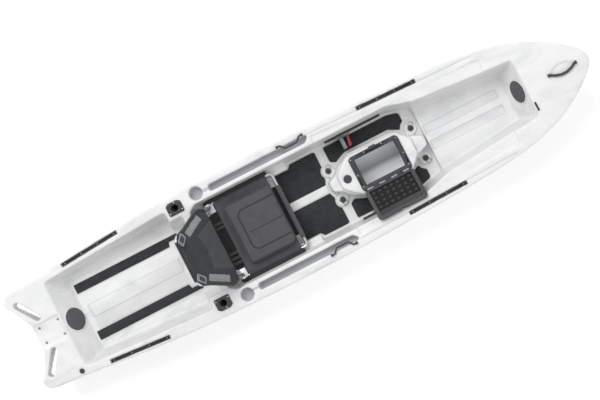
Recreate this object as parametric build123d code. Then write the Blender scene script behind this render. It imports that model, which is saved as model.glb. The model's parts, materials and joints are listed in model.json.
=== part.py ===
"""Sit-on-top pedal fishing boat: a hollow moulded hull with a lift-out centre pod, a framed seat,
foot braces and deck fittings.

Frame: +X towards the bow, +Y to port, +Z up. The origin is under the middle of the hull's length, on the
centreline, at the level of the flat bottom. All sizes are in millimetres.
"""

from build123d import *
import math
import os

os.makedirs("parts", exist_ok=True)

# ---------------------------------------------------------------- hull: overall shape
LENGTH = 3840.0
BEAM = 840.0
GUNWALE_Z = 335.0  # deck edge height amidships
BOW_RISE = 92.0  # how much the deck edge climbs at the stem
STERN_DROP = 32.0  # how much it falls at the tail
WALL = 4.5  # moulded wall
FLOOR_T = 9.0  # wells have a thicker floor
SHOULDER = 20.0  # roll of the deck edge
SOLE_CUT = 1.0  # shaved off the bottom to leave a true flat

HALF_LENGTH = LENGTH / 2
HALF_BEAM = BEAM / 2

# Offsets: share of the length from the tail, half breadth and flat bottom as shares, and deck crown.
STATIONS = [
    (0.000, 0.762, 0.60, 4.0),
    (0.036, 0.784, 0.62, 4.0),
    (0.082, 0.822, 0.64, 3.0),
    (0.138, 0.878, 0.66, 1.0),
    (0.215, 0.940, 0.68, 0.0),
    (0.345, 0.990, 0.70, 0.0),
    (0.475, 0.998, 0.70, 0.0),
    (0.605, 0.971, 0.68, 0.0),
    (0.710, 0.931, 0.62, 0.0),
    (0.800, 0.874, 0.52, 1.0),
    (0.866, 0.788, 0.42, 4.0),
    (0.918, 0.636, 0.34, 8.0),
    (0.957, 0.443, 0.28, 9.0),
    (0.982, 0.268, 0.24, 7.0),
    (0.995, 0.143, 0.22, 4.0),
    (1.000, 0.060, 0.20, 2.0),
]
SHEER_BREAK = 0.078 * LENGTH  # where the deck edge starts to climb
TAIL_BREAK = -0.18 * LENGTH  # where it starts to fall
STEM_FOOT = 0.22 * LENGTH  # where the bottom leaves the flat
STEM_RISE = 330.0
STEM_POWER = 3.7
HEEL_FOOT = -0.30 * LENGTH
HEEL_RISE = 222.0
HEEL_POWER = 3.0

# ---------------------------------------------------------------- hull: wells and recesses
COCKPIT_AFT = -632.0
COCKPIT_FWD = 856.0
COCKPIT_HALF = 290.0
COCKPIT_FLARE = 28.0  # rim to floor, each side
COCKPIT_SIDES = (-596.0, 690.0)  # the sides run parallel between these
COCKPIT_ENDS = (225.0, 216.0)  # half widths of the floor's ends
COCKPIT_RAKE = (28.0, 4.0)  # how far the aft corners and the aft ends of the sides lean back
COCKPIT_CORNER = 20.0
FLOOR_Z = 120.0
WELL_TOP = 480.0  # cutters reach above the deck

BOW_WELL_FWD = HALF_LENGTH - 418.0
BOW_WELL_HALF = (252.0, 190.0)  # rim, aft and forward
BOW_WELL_FLARE = 36.0
BOW_FLOOR_Z = 160.0
BOW_SLOPE = 70.0

STERN_WELL_AFT = 280.0 - HALF_LENGTH
STERN_WELL_FWD = -783.0
STERN_WELL_HALF = (290.0, 332.0)
STERN_WELL_FLARE = 46.0
STERN_FLOOR_Z = 172.0
STERN_SLOPE = 50.0
NECK_FWD = -698.0
NECK_HALF = 262.0

STEP_DEPTH = 12.0  # lower inner step of the side deck
STEP_AFT = 215.0
STEP_FWD = BOW_WELL_FWD - 172.0
STEP_HALF = (336.0, 286.0)

LEDGE_TOP = 205.0  # seat ledges
LEDGE_INNER = 226.0
LEDGE_FWD = 0.0
RIDGE_HALF = 25.0  # raised rib between the floor pads
RIDGE_AFT = -90.0
RIDGE_FWD = 172.0
RIDGE_TOP = FLOOR_Z + 9.0

CHANNEL_AFT = -478.0  # side channels
CHANNEL_FWD = 215.0
CHANNEL_Y = (HALF_BEAM - 104.0, HALF_BEAM - 62.0)
CHANNEL_DEPTH = 48.0
CUP_X = -562.0
CUP_Y = HALF_BEAM - 75.0
CUP_R = 42.0
CUP_DEPTH = 60.0

WELL_X = (345.0, 705.0)  # drive well through the floor
WELL_HALF = 100.0
WELL_CORNER = 28.0

NOTCH_X = 95.0 - HALF_LENGTH  # fishtail
NOTCH_HALF = 88.0
NOTCH_LIP = (27.0 - HALF_LENGTH, HALF_BEAM - 198.0)  # where the notch turns out to the tips
TIP_R = 64.0
SLOT_ENDS = ((70.0 - HALF_LENGTH, HALF_BEAM - 188.0), (152.0 - HALF_LENGTH, 112.0))
SLOT_R = 20.0
MOTOR_PAD_X = (90.0 - HALF_LENGTH, 270.0 - HALF_LENGTH)
MOTOR_PAD_HALF = 77.0
MOTOR_PAD_DEPTH = 6.0
MOTOR_PAD_T = 26.0
INSERT_CENTRE = 195.0 - HALF_LENGTH
INSERT_SPACING = (124.0, 98.0)
INSERT_R = 7.0
INSERT_BORE = 3.0
INSERT_LENGTH = 18.0
DRAIN_AT = (248.0 - HALF_LENGTH, 120.0 - HALF_BEAM)
DRAIN_R = 15.0

# ---------------------------------------------------------------- fittings on the hull
TRACK_W = 22.0
TRACK_H = 12.0
TRACK_PROUD = 1.5
TRACK_SLOT = 8.0
TRACK_LENGTH = 396.0
TRACK_FRONT = (737.5, HALF_BEAM - 69.0, -1.7)  # centre x, y and toe-in in degrees
TRACK_REAR = (626.5 - HALF_LENGTH, HALF_BEAM - 77.0, 4.3)
ROD_X = -715.0
ROD_Y = HALF_BEAM - 96.0
ROD_BORE = 21.5
ROD_TUBE = 25.0
ROD_DEPTH = 225.0
ROD_LEAN = 20.0
ROD_FLANGE = (100.0, 80.0)
HATCH_R = 71.0
HATCH_RING = HATCH_R + 11.0
HATCH_FIT = 0.4
HATCH_LIP = 6.0
BOW_HATCH_DROP = 92.0  # centre below the rim, along the slope
STERN_HATCH_DROP = 96.0
PAD_T = 6.0
AFT_PAD = [(-96.0, 29.0), (168.0, 29.0), (182.0, 62.0), (184.0, 84.0), (196.0, 120.0), (197.0, 240.0),
           (186.0, 247.0), (26.0, 247.0), (4.0, 222.0), (-96.0, 222.0)]
FOOTWELL_PAD = [(257.0, 152.0), (264.0, 141.0), (290.0, 128.0), (345.0, 152.0), (372.0, 161.0),
                (668.0, 161.0), (704.0, 142.0), (738.0, 126.0), (752.0, 150.0), (776.0, 168.0),
                (776.0, 214.0), (765.0, 228.0), (700.0, 244.0), (262.0, 244.0), (257.0, 238.0)]
STRIP_X = (STERN_WELL_AFT + 132.0, -795.0)
STRIP_Y = (131.0, 189.0)
STRIP_NOTCH = (-868.0, 160.0)  # the inner corner is cut away forward of this point

HANDLE_ENDS = (10.0, 165.0)
HANDLE_Y = HALF_BEAM - 52.0
HANDLE_REACH = 27.0
HANDLE_R = 5.5
EYE_R = 9.0
RUN_FIT = 0.08  # running clearance, radial

BOW_HANDLE_X = (HALF_LENGTH - 255.0, HALF_LENGTH - 95.0)
BOW_HANDLE_R = 8.0
BOW_HANDLE_BOW = 27.0
LENS_HALF = 40.0
LENS_DEPTH = 9.0

# ---------------------------------------------------------------- centre pod
POD_X = (182.0, 848.0)
POD_TOP = 258.0
POD_SHOULDER = 226.0
POD_WALL = 4.5
POD_DRAFT = 8.0
POD_GAP = 4.0  # pod plug to drive well
POD_SOLE = 24.0
PIN_AT = [(222.0, 100.0), (222.0, -100.0), (800.0, 104.0), (800.0, -104.0)]
EAR_R = 43.0
EAR_T = 16.0
PIN_R = 6.0
PIN_HEAD_R = 18.0
PIN_SOCKET = 14.0
OPENING_X = (387.0, 660.0)
OPENING_HALF = 88.0
FRAME_X = (355.0, 693.0)
FRAME_Y = (-122.0, 112.0)
FRAME_T = 8.0
LINER_T = 1.5
CAP_AT = 302.0
CAP_R = 26.0
HINGE_Y = -114.0
HINGE_RISE = 6.5  # hinge pin above the frame
KNUCKLE_R = 6.0
KNUCKLES = 7
HINGE_PIN_R = 2.5
LID_X = (358.0, 690.0)
LID_EDGE = 7.2  # hinge pin to the lid's edge
LID_LENGTH = 213.0
LID_T = 17.0
LID_SKIN = 3.0
LID_TILT = 25.0  # open lid, above level

# ---------------------------------------------------------------- seat
RAIL_Y = 248.0
RAIL_R = 11.0
RAIL_Z = 238.0
SEAT_AFT = -560.0
SEAT_FWD = -100.0
FOOT_L = 40.0
FOOT_OUT = 20.0
FRAME_BEND = 24.0
SLING_T = 3.0
CUSHION_X = (-465.0, -140.0)
CUSHION_HALF = 203.0
CUSHION_T = 45.0
PIVOT_X = -535.0
PIVOT_Z = 283.0
RECLINE = 34.0
BACK_LENGTH = 425.0
BACK_HALF = (226.0, 250.0, 150.0)  # at the pivot, the hips and the top
BACK_TUBE_R = 10.0
BACK_PAD_T = 24.0
PIVOT_PIN_R = 4.0
BRACKET_X = (-26.0, 29.0)  # bracket foot, from the pivot
BRACKET_INNER = 192.0
BRACKET_T = 3.0

# ---------------------------------------------------------------- foot braces
BRACE_X = (280.0, 660.0)
BRACE_Z = (178.0, 202.0)
BRACE_T = 12.0
PEDAL_X = 382.0
PEDAL_Y = (172.0, 250.0)
PEDAL_Z = (137.0, 225.0)
PEDAL_T = 22.0
TRIGGER_Z = (184.0, 198.0)
TRIGGER_PIN_R = 2.6


# ================================================================ small helpers
def outline(points, radius=0.0):
    """A flat face through the points, with its corners rounded."""
    face = make_face(Polyline(*points, close=True))
    if radius > 0:
        face = fillet(face.vertices(), radius)
    return face


def both_sides(points):
    """Port side points, aft to forward, closed round the starboard side."""
    return list(points) + [(x, -y) for x, y in reversed(points)]


def prism(points, low, high, radius=0.0):
    """An upright block with the plan given."""
    return extrude(Pos(0, 0, low) * outline(points, radius), high - low)


def tapered(low_points, low, high_points, high, radius=0.0):
    """A block that changes plan from its bottom to its top."""
    ends = [Pos(0, 0, low) * outline(low_points, radius), Pos(0, 0, high) * outline(high_points, radius)]
    return loft(ends, ruled=True)


def block(x, y, z):
    """A box between low and high corners."""
    size = (x[1] - x[0], y[1] - y[0], z[1] - z[0])
    return Pos((x[0] + x[1]) / 2, (y[0] + y[1]) / 2, (z[0] + z[1]) / 2) * Box(*size)


def rod_between(start, end, radius):
    """A round bar from one point to another."""
    a = Vector(*start)
    b = Vector(*end)
    plane = Plane(origin=a, z_dir=(b - a).normalized())
    return extrude(plane * Circle(radius), (b - a).length)


def tube_along(points, radii, radius):
    """A round bar bent round each corner of a route."""
    path = FilletPolyline(*points, radius=radii)
    plane = Plane(origin=path @ 0, z_dir=path % 0)
    return sweep(plane * Circle(radius), path=path)


def mirrored(shape):
    """The same shape on the starboard side."""
    return mirror(shape, Plane.XZ)


def pair(shape):
    """Port and starboard solids as one group."""
    return Compound(children=list(shape.solids()) + list(mirrored(shape).solids()))


def group(*shapes):
    """Several separate solids in one node."""
    solids = []
    for shape in shapes:
        solids.extend(shape.solids())
    return Compound(children=solids)


NODES = {}


def add(name, shape):
    """Keep a node, as a single solid where it is one."""
    solids = shape.solids()
    NODES[name] = solids[0] if len(solids) == 1 else Compound(children=list(solids))


# ================================================================ hull
def sheer(x):
    """Height of the deck edge."""
    if x > SHEER_BREAK:
        return GUNWALE_Z + BOW_RISE * ((x - SHEER_BREAK) / (HALF_LENGTH - SHEER_BREAK)) ** 2
    if x < TAIL_BREAK:
        return GUNWALE_Z - STERN_DROP * ((TAIL_BREAK - x) / (TAIL_BREAK + HALF_LENGTH)) ** 2
    return GUNWALE_Z


def deck_slope(x):
    """How steeply the deck edge climbs towards the bow, in degrees."""
    return math.degrees(math.atan((sheer(x + 1.0) - sheer(x - 1.0)) / 2.0))


def keel(x):
    """Height of the bottom."""
    if x > STEM_FOOT:
        return STEM_RISE * ((x - STEM_FOOT) / (HALF_LENGTH - STEM_FOOT)) ** STEM_POWER - SOLE_CUT
    if x < HEEL_FOOT:
        return HEEL_RISE * ((HEEL_FOOT - x) / (HEEL_FOOT + HALF_LENGTH)) ** HEEL_POWER - SOLE_CUT
    return -SOLE_CUT


def station_share(x):
    """Half breadth and crown at any x, between the two nearest stations."""
    share = (x + HALF_LENGTH) / LENGTH
    for one, two in zip(STATIONS, STATIONS[1:]):
        if one[0] <= share <= two[0]:
            t = (share - one[0]) / (two[0] - one[0])
            return [a + t * (b - a) for a, b in zip(one[1:], two[1:])]
    return list(STATIONS[-1][1:])


def half_breadth(x):
    """Half breadth at the widest level of a station."""
    return station_share(x)[0] * HALF_BEAM


def deck_mid(x):
    """Height of the deck on the centreline."""
    return sheer(x) + station_share(x)[2]


def hull_section(x, half, flat, crown, inset):
    """One station: flat bottom, turn of the bilge, side, rolled deck edge and deck."""
    b = half - inset
    low = keel(x) + inset
    top = sheer(x) - inset
    height = top - low
    roll = min(SHOULDER, 0.4 * b)
    port = [
        (b * flat, low),
        (b * 0.93, low + 0.30 * height),
        (b, top - 0.24 * height),
        (b - 0.28 * roll, top - 0.07 * height),
        (b - roll, top),
    ]
    starboard = [(-y, z) for y, z in port]
    side = Spline(port, tangents=[(1, 0.05), (-1, 0.02)])
    other = Spline(starboard, tangents=[(-1, 0.05), (1, 0.02)])
    deck = Spline(port[-1], (0, top + crown), starboard[-1])
    bottom = Line(starboard[0], port[0])
    plane = Plane(origin=(x, 0, 0), x_dir=(0, 1, 0), z_dir=(1, 0, 0))
    return plane * make_face([bottom, side, deck, other])


def hull_shape(inset=0.0):
    """The hull's outside, or the same shape drawn in by the wall."""
    squeeze = (HALF_LENGTH - inset) / HALF_LENGTH
    sections = []
    for share, half, flat, crown in STATIONS:
        x = (share * LENGTH - HALF_LENGTH) * squeeze
        sections.append(hull_section(x, half * HALF_BEAM, flat, crown, inset))
    return loft(sections)


OUTER_SHAPE = hull_shape()  # deck fittings are trimmed to it, so that they sit on the curve


def well_floor(z, grow):
    """A well's floor level, or that level dropped by the floor's thickness."""
    return z - FLOOR_T if grow else z


def cockpit_cut(grow=0.0):
    """The open cockpit, with its two seat ledges and its centre rib left standing."""
    z = well_floor(FLOOR_Z, grow)
    slope = COCKPIT_FLARE / (GUNWALE_Z - FLOOR_Z)
    out = slope * (WELL_TOP - FLOOR_Z)
    foot = COCKPIT_HALF - COCKPIT_FLARE + grow
    aft, fwd = COCKPIT_AFT - grow, COCKPIT_FWD + grow
    end_aft, end_fwd = COCKPIT_ENDS[0] + grow, COCKPIT_ENDS[1] + grow
    side_aft, side_fwd = COCKPIT_SIDES
    low = [(aft, end_aft), (side_aft, foot), (side_fwd, foot), (fwd, end_fwd)]
    high = [(aft - COCKPIT_RAKE[0], end_aft + out), (side_aft - COCKPIT_RAKE[1], foot + out),
            (side_fwd, foot + out), (fwd, end_fwd + out)]
    cut = tapered(both_sides(low), z, both_sides(high), WELL_TOP, COCKPIT_CORNER)
    ledge = block((NECK_FWD, LEDGE_FWD - grow), (LEDGE_INNER + grow, HALF_BEAM), (z, LEDGE_TOP - grow))
    rib = block((RIDGE_AFT, RIDGE_FWD), (-RIDGE_HALF, RIDGE_HALF), (z, RIDGE_TOP))
    cut = cut - ledge - mirrored(ledge)
    return cut if grow else cut - rib


def bow_well_cut(grow=0.0):
    """The open storage well ahead of the cockpit."""
    z = well_floor(BOW_FLOOR_Z, grow)
    rim = sheer(BOW_WELL_FWD)
    slant = 1.0 / math.tan(math.radians(BOW_SLOPE))
    side = BOW_WELL_FLARE / (rim - BOW_FLOOR_Z)
    aft = COCKPIT_FWD - 30.0

    def plan(level):
        out = (level - rim) * side + grow
        fwd = BOW_WELL_FWD + (level - rim) * slant + grow / math.sin(math.radians(BOW_SLOPE))
        return both_sides([(aft, BOW_WELL_HALF[0] + out), (fwd, BOW_WELL_HALF[1] + out)])

    return tapered(plan(z), z, plan(WELL_TOP), WELL_TOP, 18)


def stern_well_cut(grow=0.0):
    """The open tank well behind the seat, with its narrower neck."""
    z = well_floor(STERN_FLOOR_Z, grow)
    rim = sheer(STERN_WELL_AFT)
    slant = 1.0 / math.tan(math.radians(STERN_SLOPE))
    side = STERN_WELL_FLARE / (GUNWALE_Z - STERN_FLOOR_Z)

    def plan(level):
        out = (level - GUNWALE_Z) * side + grow
        aft = STERN_WELL_AFT - (level - rim) * slant - grow / math.sin(math.radians(STERN_SLOPE))
        fwd = STERN_WELL_FWD + (level - GUNWALE_Z) * 0.13 + grow
        return both_sides([(aft, STERN_WELL_HALF[0] + out), (fwd, STERN_WELL_HALF[1] + out)])

    def neck(level):
        out = (level - GUNWALE_Z) * side + grow
        fwd = NECK_FWD + (level - GUNWALE_Z) * 0.06 + grow
        return both_sides([(STERN_WELL_FWD - 60, NECK_HALF + out), (fwd, NECK_HALF + out)])

    main = tapered(plan(z), z, plan(WELL_TOP), WELL_TOP, 22)
    return main + tapered(neck(z), z, neck(WELL_TOP), WELL_TOP, 16)


def step_cut(grow=0.0):
    """The lower inner step of the side deck, beside the front wells."""
    points = [(STEP_AFT, STEP_HALF[0]), (STEP_FWD, STEP_HALF[1])]
    low = [(x, y + grow) for x, y in points]
    face = outline(both_sides(low))
    base = sheer(STEP_AFT) - STEP_DEPTH - grow
    tilt = math.degrees(math.atan((sheer(STEP_FWD) - sheer(STEP_AFT)) / (STEP_FWD - STEP_AFT)))
    cut = extrude(face, 200)
    hinge = Pos(STEP_AFT, 0, base) * Rot(0, -tilt, 0) * Pos(-STEP_AFT, 0, 0)
    return hinge * cut


def tail_cut(grow=0.0):
    """The fishtail notch and the two rounded tips."""
    end = -HALF_LENGTH - 40
    tip = half_breadth(-HALF_LENGTH) - TIP_R
    lip_x, lip_y = NOTCH_LIP[0] + grow, NOTCH_LIP[1]
    notch = outline([
        (NOTCH_X + grow, -NOTCH_HALF), (NOTCH_X + grow, NOTCH_HALF),
        (lip_x, lip_y), (-HALF_LENGTH + grow, tip - 6), (end, tip + 10),
        (end, -tip - 10), (-HALF_LENGTH + grow, 6 - tip), (lip_x, -lip_y),
    ])
    cut = extrude(notch, 600)
    centre = (-HALF_LENGTH + TIP_R, tip)
    corner = block((end, centre[0]), (tip, tip + 200), (0, 600))
    corner -= Pos(centre[0], centre[1], 300) * Cylinder(TIP_R - grow, 700)
    return cut + corner + mirrored(corner)


def slot_cut(grow=0.0):
    """The two hand slots right through the fishtail."""
    (x1, y1), (x2, y2) = SLOT_ENDS
    length = math.hypot(x2 - x1, y2 - y1)
    turn = math.degrees(math.atan2(y2 - y1, x2 - x1))
    face = SlotCenterToCenter(length, 2 * (SLOT_R + grow))
    slot = extrude(Pos((x1 + x2) / 2, (y1 + y2) / 2, 0) * Rot(0, 0, turn) * face, 600)
    return slot + mirrored(slot)


def side_cut(grow=0.0):
    """Side channels and cup recesses, both sides."""
    floor = GUNWALE_Z - CHANNEL_DEPTH - grow
    inner, outer = CHANNEL_Y
    aft = CHANNEL_AFT - grow
    fwd = CHANNEL_FWD + grow
    plan = [(aft, inner - grow), (fwd - 45, inner - grow), (fwd, outer + grow), (aft, outer + grow)]
    channel = prism(plan, floor, WELL_TOP, 12)
    cup = Pos(CUP_X, CUP_Y, GUNWALE_Z - CUP_DEPTH - grow + 100) * Cylinder(CUP_R + grow, 200)
    return channel + mirrored(channel) + cup + mirrored(cup)


def motor_pad_cut(grow=0.0):
    """The flat bolting pad between the fishtail arms."""
    level = sheer(INSERT_CENTRE) - MOTOR_PAD_DEPTH - (MOTOR_PAD_T if grow else 0)
    x = (MOTOR_PAD_X[0] - 60, MOTOR_PAD_X[1] + grow)
    return block(x, (-MOTOR_PAD_HALF, MOTOR_PAD_HALF), (level, WELL_TOP))


def drive_well_cut(grow=0.0):
    """The through well that takes the pod or a pedal drive."""
    plan = [(WELL_X[0] - grow, WELL_HALF + grow), (WELL_X[1] + grow, WELL_HALF + grow)]
    return prism(both_sides(plan), -40, FLOOR_Z + 20, WELL_CORNER + grow)


def track_place(spec):
    """Where a gear track lies: along the deck's climb, with its toe-in."""
    x, y, toe = spec
    return Pos(x, y, sheer(x)) * Rot(0, -deck_slope(x), toe)


def track_pockets():
    """Shallow pockets that the gear tracks drop into."""
    pockets = []
    for spec in (TRACK_FRONT, TRACK_REAR):
        pocket = track_place(spec) * Pos(0, 0, 100 - TRACK_H) * Box(TRACK_LENGTH + 0.6, TRACK_W + 0.6, 200)
        pockets.append(pocket)
        pockets.append(mirrored(pocket))
    return pockets


def rod_place():
    """Axis of the port rod holder: mouth on the deck, foot leaning forward."""
    return Pos(ROD_X, ROD_Y, GUNWALE_Z) * Rot(0, -ROD_LEAN, 0)


def hatch_place(end):
    """A hatch's plane: its middle on the bulkhead, local +Z out of the wall."""
    if end == "bow":
        slope = math.radians(BOW_SLOPE)
        rim = sheer(BOW_WELL_FWD)
        x = BOW_WELL_FWD - BOW_HATCH_DROP * math.cos(slope)
        z = rim - BOW_HATCH_DROP * math.sin(slope)
        return Pos(x, 0, z) * Rot(0, -BOW_SLOPE, 0)
    slope = math.radians(STERN_SLOPE)
    rim = sheer(STERN_WELL_AFT)
    x = STERN_WELL_AFT + STERN_HATCH_DROP * math.cos(slope)
    z = rim - STERN_HATCH_DROP * math.sin(slope)
    return Pos(x, 0, z) * Rot(0, STERN_SLOPE, 0)


def bow_handle_place():
    """Local frame of the bow handle, on the deck's centreline."""
    x = sum(BOW_HANDLE_X) / 2
    return Pos(x, 0, deck_mid(x)) * Rot(0, -deck_slope(x), 0)


def lens_cut(grow=0.0):
    """The lens-shaped finger recess under the bow handle."""
    half = (BOW_HANDLE_X[1] - BOW_HANDLE_X[0]) / 2 + grow
    wide = LENS_HALF + grow
    port = ThreePointArc((-half, 0), (0, wide), (half, 0))
    starboard = ThreePointArc((half, 0), (0, -wide), (-half, 0))
    return bow_handle_place() * Pos(0, 0, -LENS_DEPTH - grow) * extrude(make_face([port, starboard]), 60)


def hull():
    """The moulded hull: outer skin, wells, recesses and every seat cut in it."""
    shell = OUTER_SHAPE
    cuts = [cockpit_cut, bow_well_cut, stern_well_cut, step_cut, tail_cut, slot_cut, side_cut,
            motor_pad_cut, drive_well_cut, lens_cut]
    for cut in cuts:
        shell -= cut()
    void = hull_shape(WALL)
    for cut in cuts:
        void -= cut(WALL)
    for pocket in track_pockets():
        void -= pocket + Pos(0, 0, -WALL) * pocket
    for x, y in PIN_AT:
        void -= Pos(x, y, FLOOR_Z - 20) * Cylinder(PIN_R + 8, 60)
    shell -= void
    for pocket in track_pockets():
        shell -= pocket
    for x, y in PIN_AT:
        shell -= Pos(x, y, FLOOR_Z - PIN_SOCKET / 2) * Cylinder(PIN_R + RUN_FIT, PIN_SOCKET)
    rod_hole = rod_place() * Cylinder(ROD_TUBE + 0.2, 120)
    shell = shell - rod_hole - mirrored(rod_hole)
    for end in ("bow", "stern"):
        shell -= hatch_place(end) * Cylinder(HATCH_R + 3.2, 60)
    dx, dy = INSERT_SPACING
    level = sheer(INSERT_CENTRE) - MOTOR_PAD_DEPTH
    for place in GridLocations(dx, dy, 2, 2):
        shell -= Pos(INSERT_CENTRE, 0, level) * place * Cylinder(INSERT_R + 0.05, 2 * INSERT_LENGTH)
    shell -= Pos(DRAIN_AT[0], DRAIN_AT[1], sheer(DRAIN_AT[0])) * Cylinder(DRAIN_R - 3, 60)
    return shell - Pos(0, 0, -50) * Box(LENGTH + 200, 2 * BEAM, 100)


# ================================================================ fittings fixed to the hull
def gear_track(spec):
    """Extruded rail with a T slot, lying in its pocket."""
    rail = Pos(0, 0, (TRACK_PROUD - TRACK_H) / 2) * Box(TRACK_LENGTH, TRACK_W, TRACK_H + TRACK_PROUD)
    rail -= Pos(0, 0, 0) * Box(TRACK_LENGTH + 2, TRACK_SLOT, 2 * TRACK_H - 8)
    rail -= Pos(0, 0, -TRACK_H / 2 - 0.5) * Box(TRACK_LENGTH + 2, TRACK_W - 6, 5)
    for x in track_screws_x():
        rail -= Pos(x, 0, -TRACK_H) * Cylinder(2.2, 12)
    return track_place(spec) * rail


def track_screws_x():
    """Screw places along a track."""
    reach = TRACK_LENGTH / 2 - 24
    return [-reach, -reach / 3, reach / 3, reach]


def track_screws(spec):
    """Pan heads on the track's floor."""
    heads = [Pos(x, 0, -TRACK_H + 4.2) * Cylinder(3.6, 2.0) for x in track_screws_x()]
    return group(*[track_place(spec) * head for head in heads])


def rod_holder():
    """Flush tube with a D-shaped flange, leaning forward below the deck."""
    long, wide = ROD_FLANGE
    x = ROD_X
    inner = ROD_Y - wide / 2 + 1
    outer = ROD_Y + wide / 2 + 1
    plan = [(x - long / 2, inner), (x + long / 2, inner), (x + long / 2, outer - 14),
            (x + long / 2 - 20, outer), (x - long / 2 + 20, outer), (x - long / 2, outer - 14)]
    flange = prism(plan, GUNWALE_Z + 0.2, GUNWALE_Z + 5.2, 9)
    tube = rod_place() * Pos(0, 0, -ROD_DEPTH / 2 + 12) * Cylinder(ROD_TUBE, ROD_DEPTH)
    tube -= block((x - 200, x + 200), (ROD_Y - 99, ROD_Y + 99), (GUNWALE_Z + 5.2, GUNWALE_Z + 99))
    bore = rod_place() * Pos(0, 0, -ROD_DEPTH / 2 + 18) * Cylinder(ROD_BORE, ROD_DEPTH)
    holder = flange + tube - bore
    for sx, sy in rod_screws_at():
        holder -= Pos(sx, sy, GUNWALE_Z) * Cylinder(2.2, 40)
    return holder


def rod_screws_at():
    """Three screws round the mouth of a rod holder."""
    long, wide = ROD_FLANGE
    reach = long / 2 - 10
    return [(ROD_X - reach, ROD_Y - 24), (ROD_X + reach, ROD_Y - 24), (ROD_X + 8, ROD_Y + wide / 2 - 7)]


def rod_screws():
    """Pan heads on the rod holder flange."""
    return group(*[Pos(x, y, GUNWALE_Z + 6.2) * Cylinder(4.0, 2.0) for x, y in rod_screws_at()])


def aft_floor_pad():
    """Textured pad beside the rib, notched for the pod's lug."""
    pad = prism(AFT_PAD, FLOOR_Z, FLOOR_Z + PAD_T, 4)
    x, y = PIN_AT[0]
    return pad - Pos(x, y, FLOOR_Z) * Cylinder(EAR_R + 5, 60)


def footwell_pad():
    """Textured pad outboard of the pod, under the foot brace."""
    return prism(FOOTWELL_PAD, FLOOR_Z, FLOOR_Z + PAD_T, 4)


def rear_strip():
    """Long traction strip on the tank well floor."""
    aft, fwd = STRIP_X
    inner, outer = STRIP_Y
    x, y = STRIP_NOTCH
    plan = [(aft, inner), (x, inner), (x + 8, y), (fwd, y), (fwd, outer), (aft, outer)]
    return prism(plan, STERN_FLOOR_Z, STERN_FLOOR_Z + PAD_T, 2)


def cockpit_wall_y(z):
    """Port side wall of the cockpit at a level."""
    return COCKPIT_HALF - COCKPIT_FLARE * (GUNWALE_Z - z) / (GUNWALE_Z - FLOOR_Z)


def brace_rail_y():
    """Inner and outer face of a foot-brace rail."""
    outer = cockpit_wall_y(BRACE_Z[0]) - 0.2
    return outer - BRACE_T, outer


def brace_rail():
    """Notched rail that the foot pedal slides along."""
    inner, outer = brace_rail_y()
    rail = block(BRACE_X, (inner, outer), BRACE_Z)
    teeth = int((BRACE_X[1] - BRACE_X[0] - 60) / 20)
    for i in range(teeth):
        x = BRACE_X[0] + 40 + 20 * i
        rail -= block((x, x + 8), (inner - 1, inner + 5), (BRACE_Z[1] - 7, BRACE_Z[1] + 1))
    return rail


def hatch_ring(end):
    """Moulded seat that a round hatch lid turns in. Its flange stops at the well's floor."""
    place = hatch_place(end)
    floor = BOW_FLOOR_Z if end == "bow" else STERN_FLOOR_Z
    flange = place * Pos(0, 0, 2.2) * Cylinder(HATCH_RING, 4)
    flange -= block((-LENGTH, LENGTH), (-BEAM, BEAM), (0, floor))
    ring = place * Pos(0, 0, -6) * Cylinder(HATCH_R + 3, 20) + flange
    ring -= place * Cylinder(HATCH_R - HATCH_LIP + HATCH_FIT, 60)
    return ring - place * Pos(0, 0, 7) * Cylinder(HATCH_R + HATCH_FIT, 16)


def hatch_lid(end):
    """Round lid: a padded disc over a threaded collar, with a cross grip on its face."""
    lid = Pos(0, 0, 3.3) * Cylinder(HATCH_R, 8)
    lid += Pos(0, 0, -8) * Cylinder(HATCH_R - HATCH_LIP, 16)
    lid -= Pos(0, 0, -12) * Cylinder(HATCH_R - HATCH_LIP - 4, 16)
    return hatch_place(end) * lid


def stern_inserts():
    """Four threaded inserts in the bolting pad."""
    level = sheer(INSERT_CENTRE) - MOTOR_PAD_DEPTH
    dx, dy = INSERT_SPACING
    pieces = []
    for place in GridLocations(dx, dy, 2, 2):
        tube = Cylinder(INSERT_R, INSERT_LENGTH) - Cylinder(INSERT_BORE, INSERT_LENGTH + 2)
        pieces.append(Pos(INSERT_CENTRE, 0, level - INSERT_LENGTH / 2) * place * tube)
    return group(*pieces)


def pad_eye():
    """Small staple at the forward end of the bow well."""
    x = BOW_WELL_FWD + 12
    z = sheer(x) + 3
    bar = tube_along([(x, -150, z), (x, -150, z + 15), (x, -112, z + 15), (x, -112, z)], 6, 3.5)
    return bar + block((x - 6, x + 6), (-160, -102), (z - 8, z + 3)) - OUTER_SHAPE


def drain_level():
    """Deck level at the drain bung."""
    return sheer(DRAIN_AT[0]) + 1.0


def drain_bush():
    """Flanged bush round the drain bung."""
    place = Pos(DRAIN_AT[0], DRAIN_AT[1], drain_level())
    flange = place * Pos(0, 0, 0.5) * Cylinder(DRAIN_R, 4) - OUTER_SHAPE
    return flange + place * Pos(0, 0, -9) * Cylinder(DRAIN_R - 3.1, 20) - place * Cylinder(8, 60)


def drain_plug():
    """Drain bung with a slotted head."""
    plug = Pos(0, 0, 5.6) * Cylinder(DRAIN_R - 1, 6) + Pos(0, 0, -5) * Cylinder(8 - RUN_FIT, 16)
    plug -= Pos(0, 0, 8) * Box(20, 4, 4)
    return Pos(DRAIN_AT[0], DRAIN_AT[1], drain_level()) * plug


def handle_z():
    """Axis level of the side handles."""
    return GUNWALE_Z + EYE_R + 0.5


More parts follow.
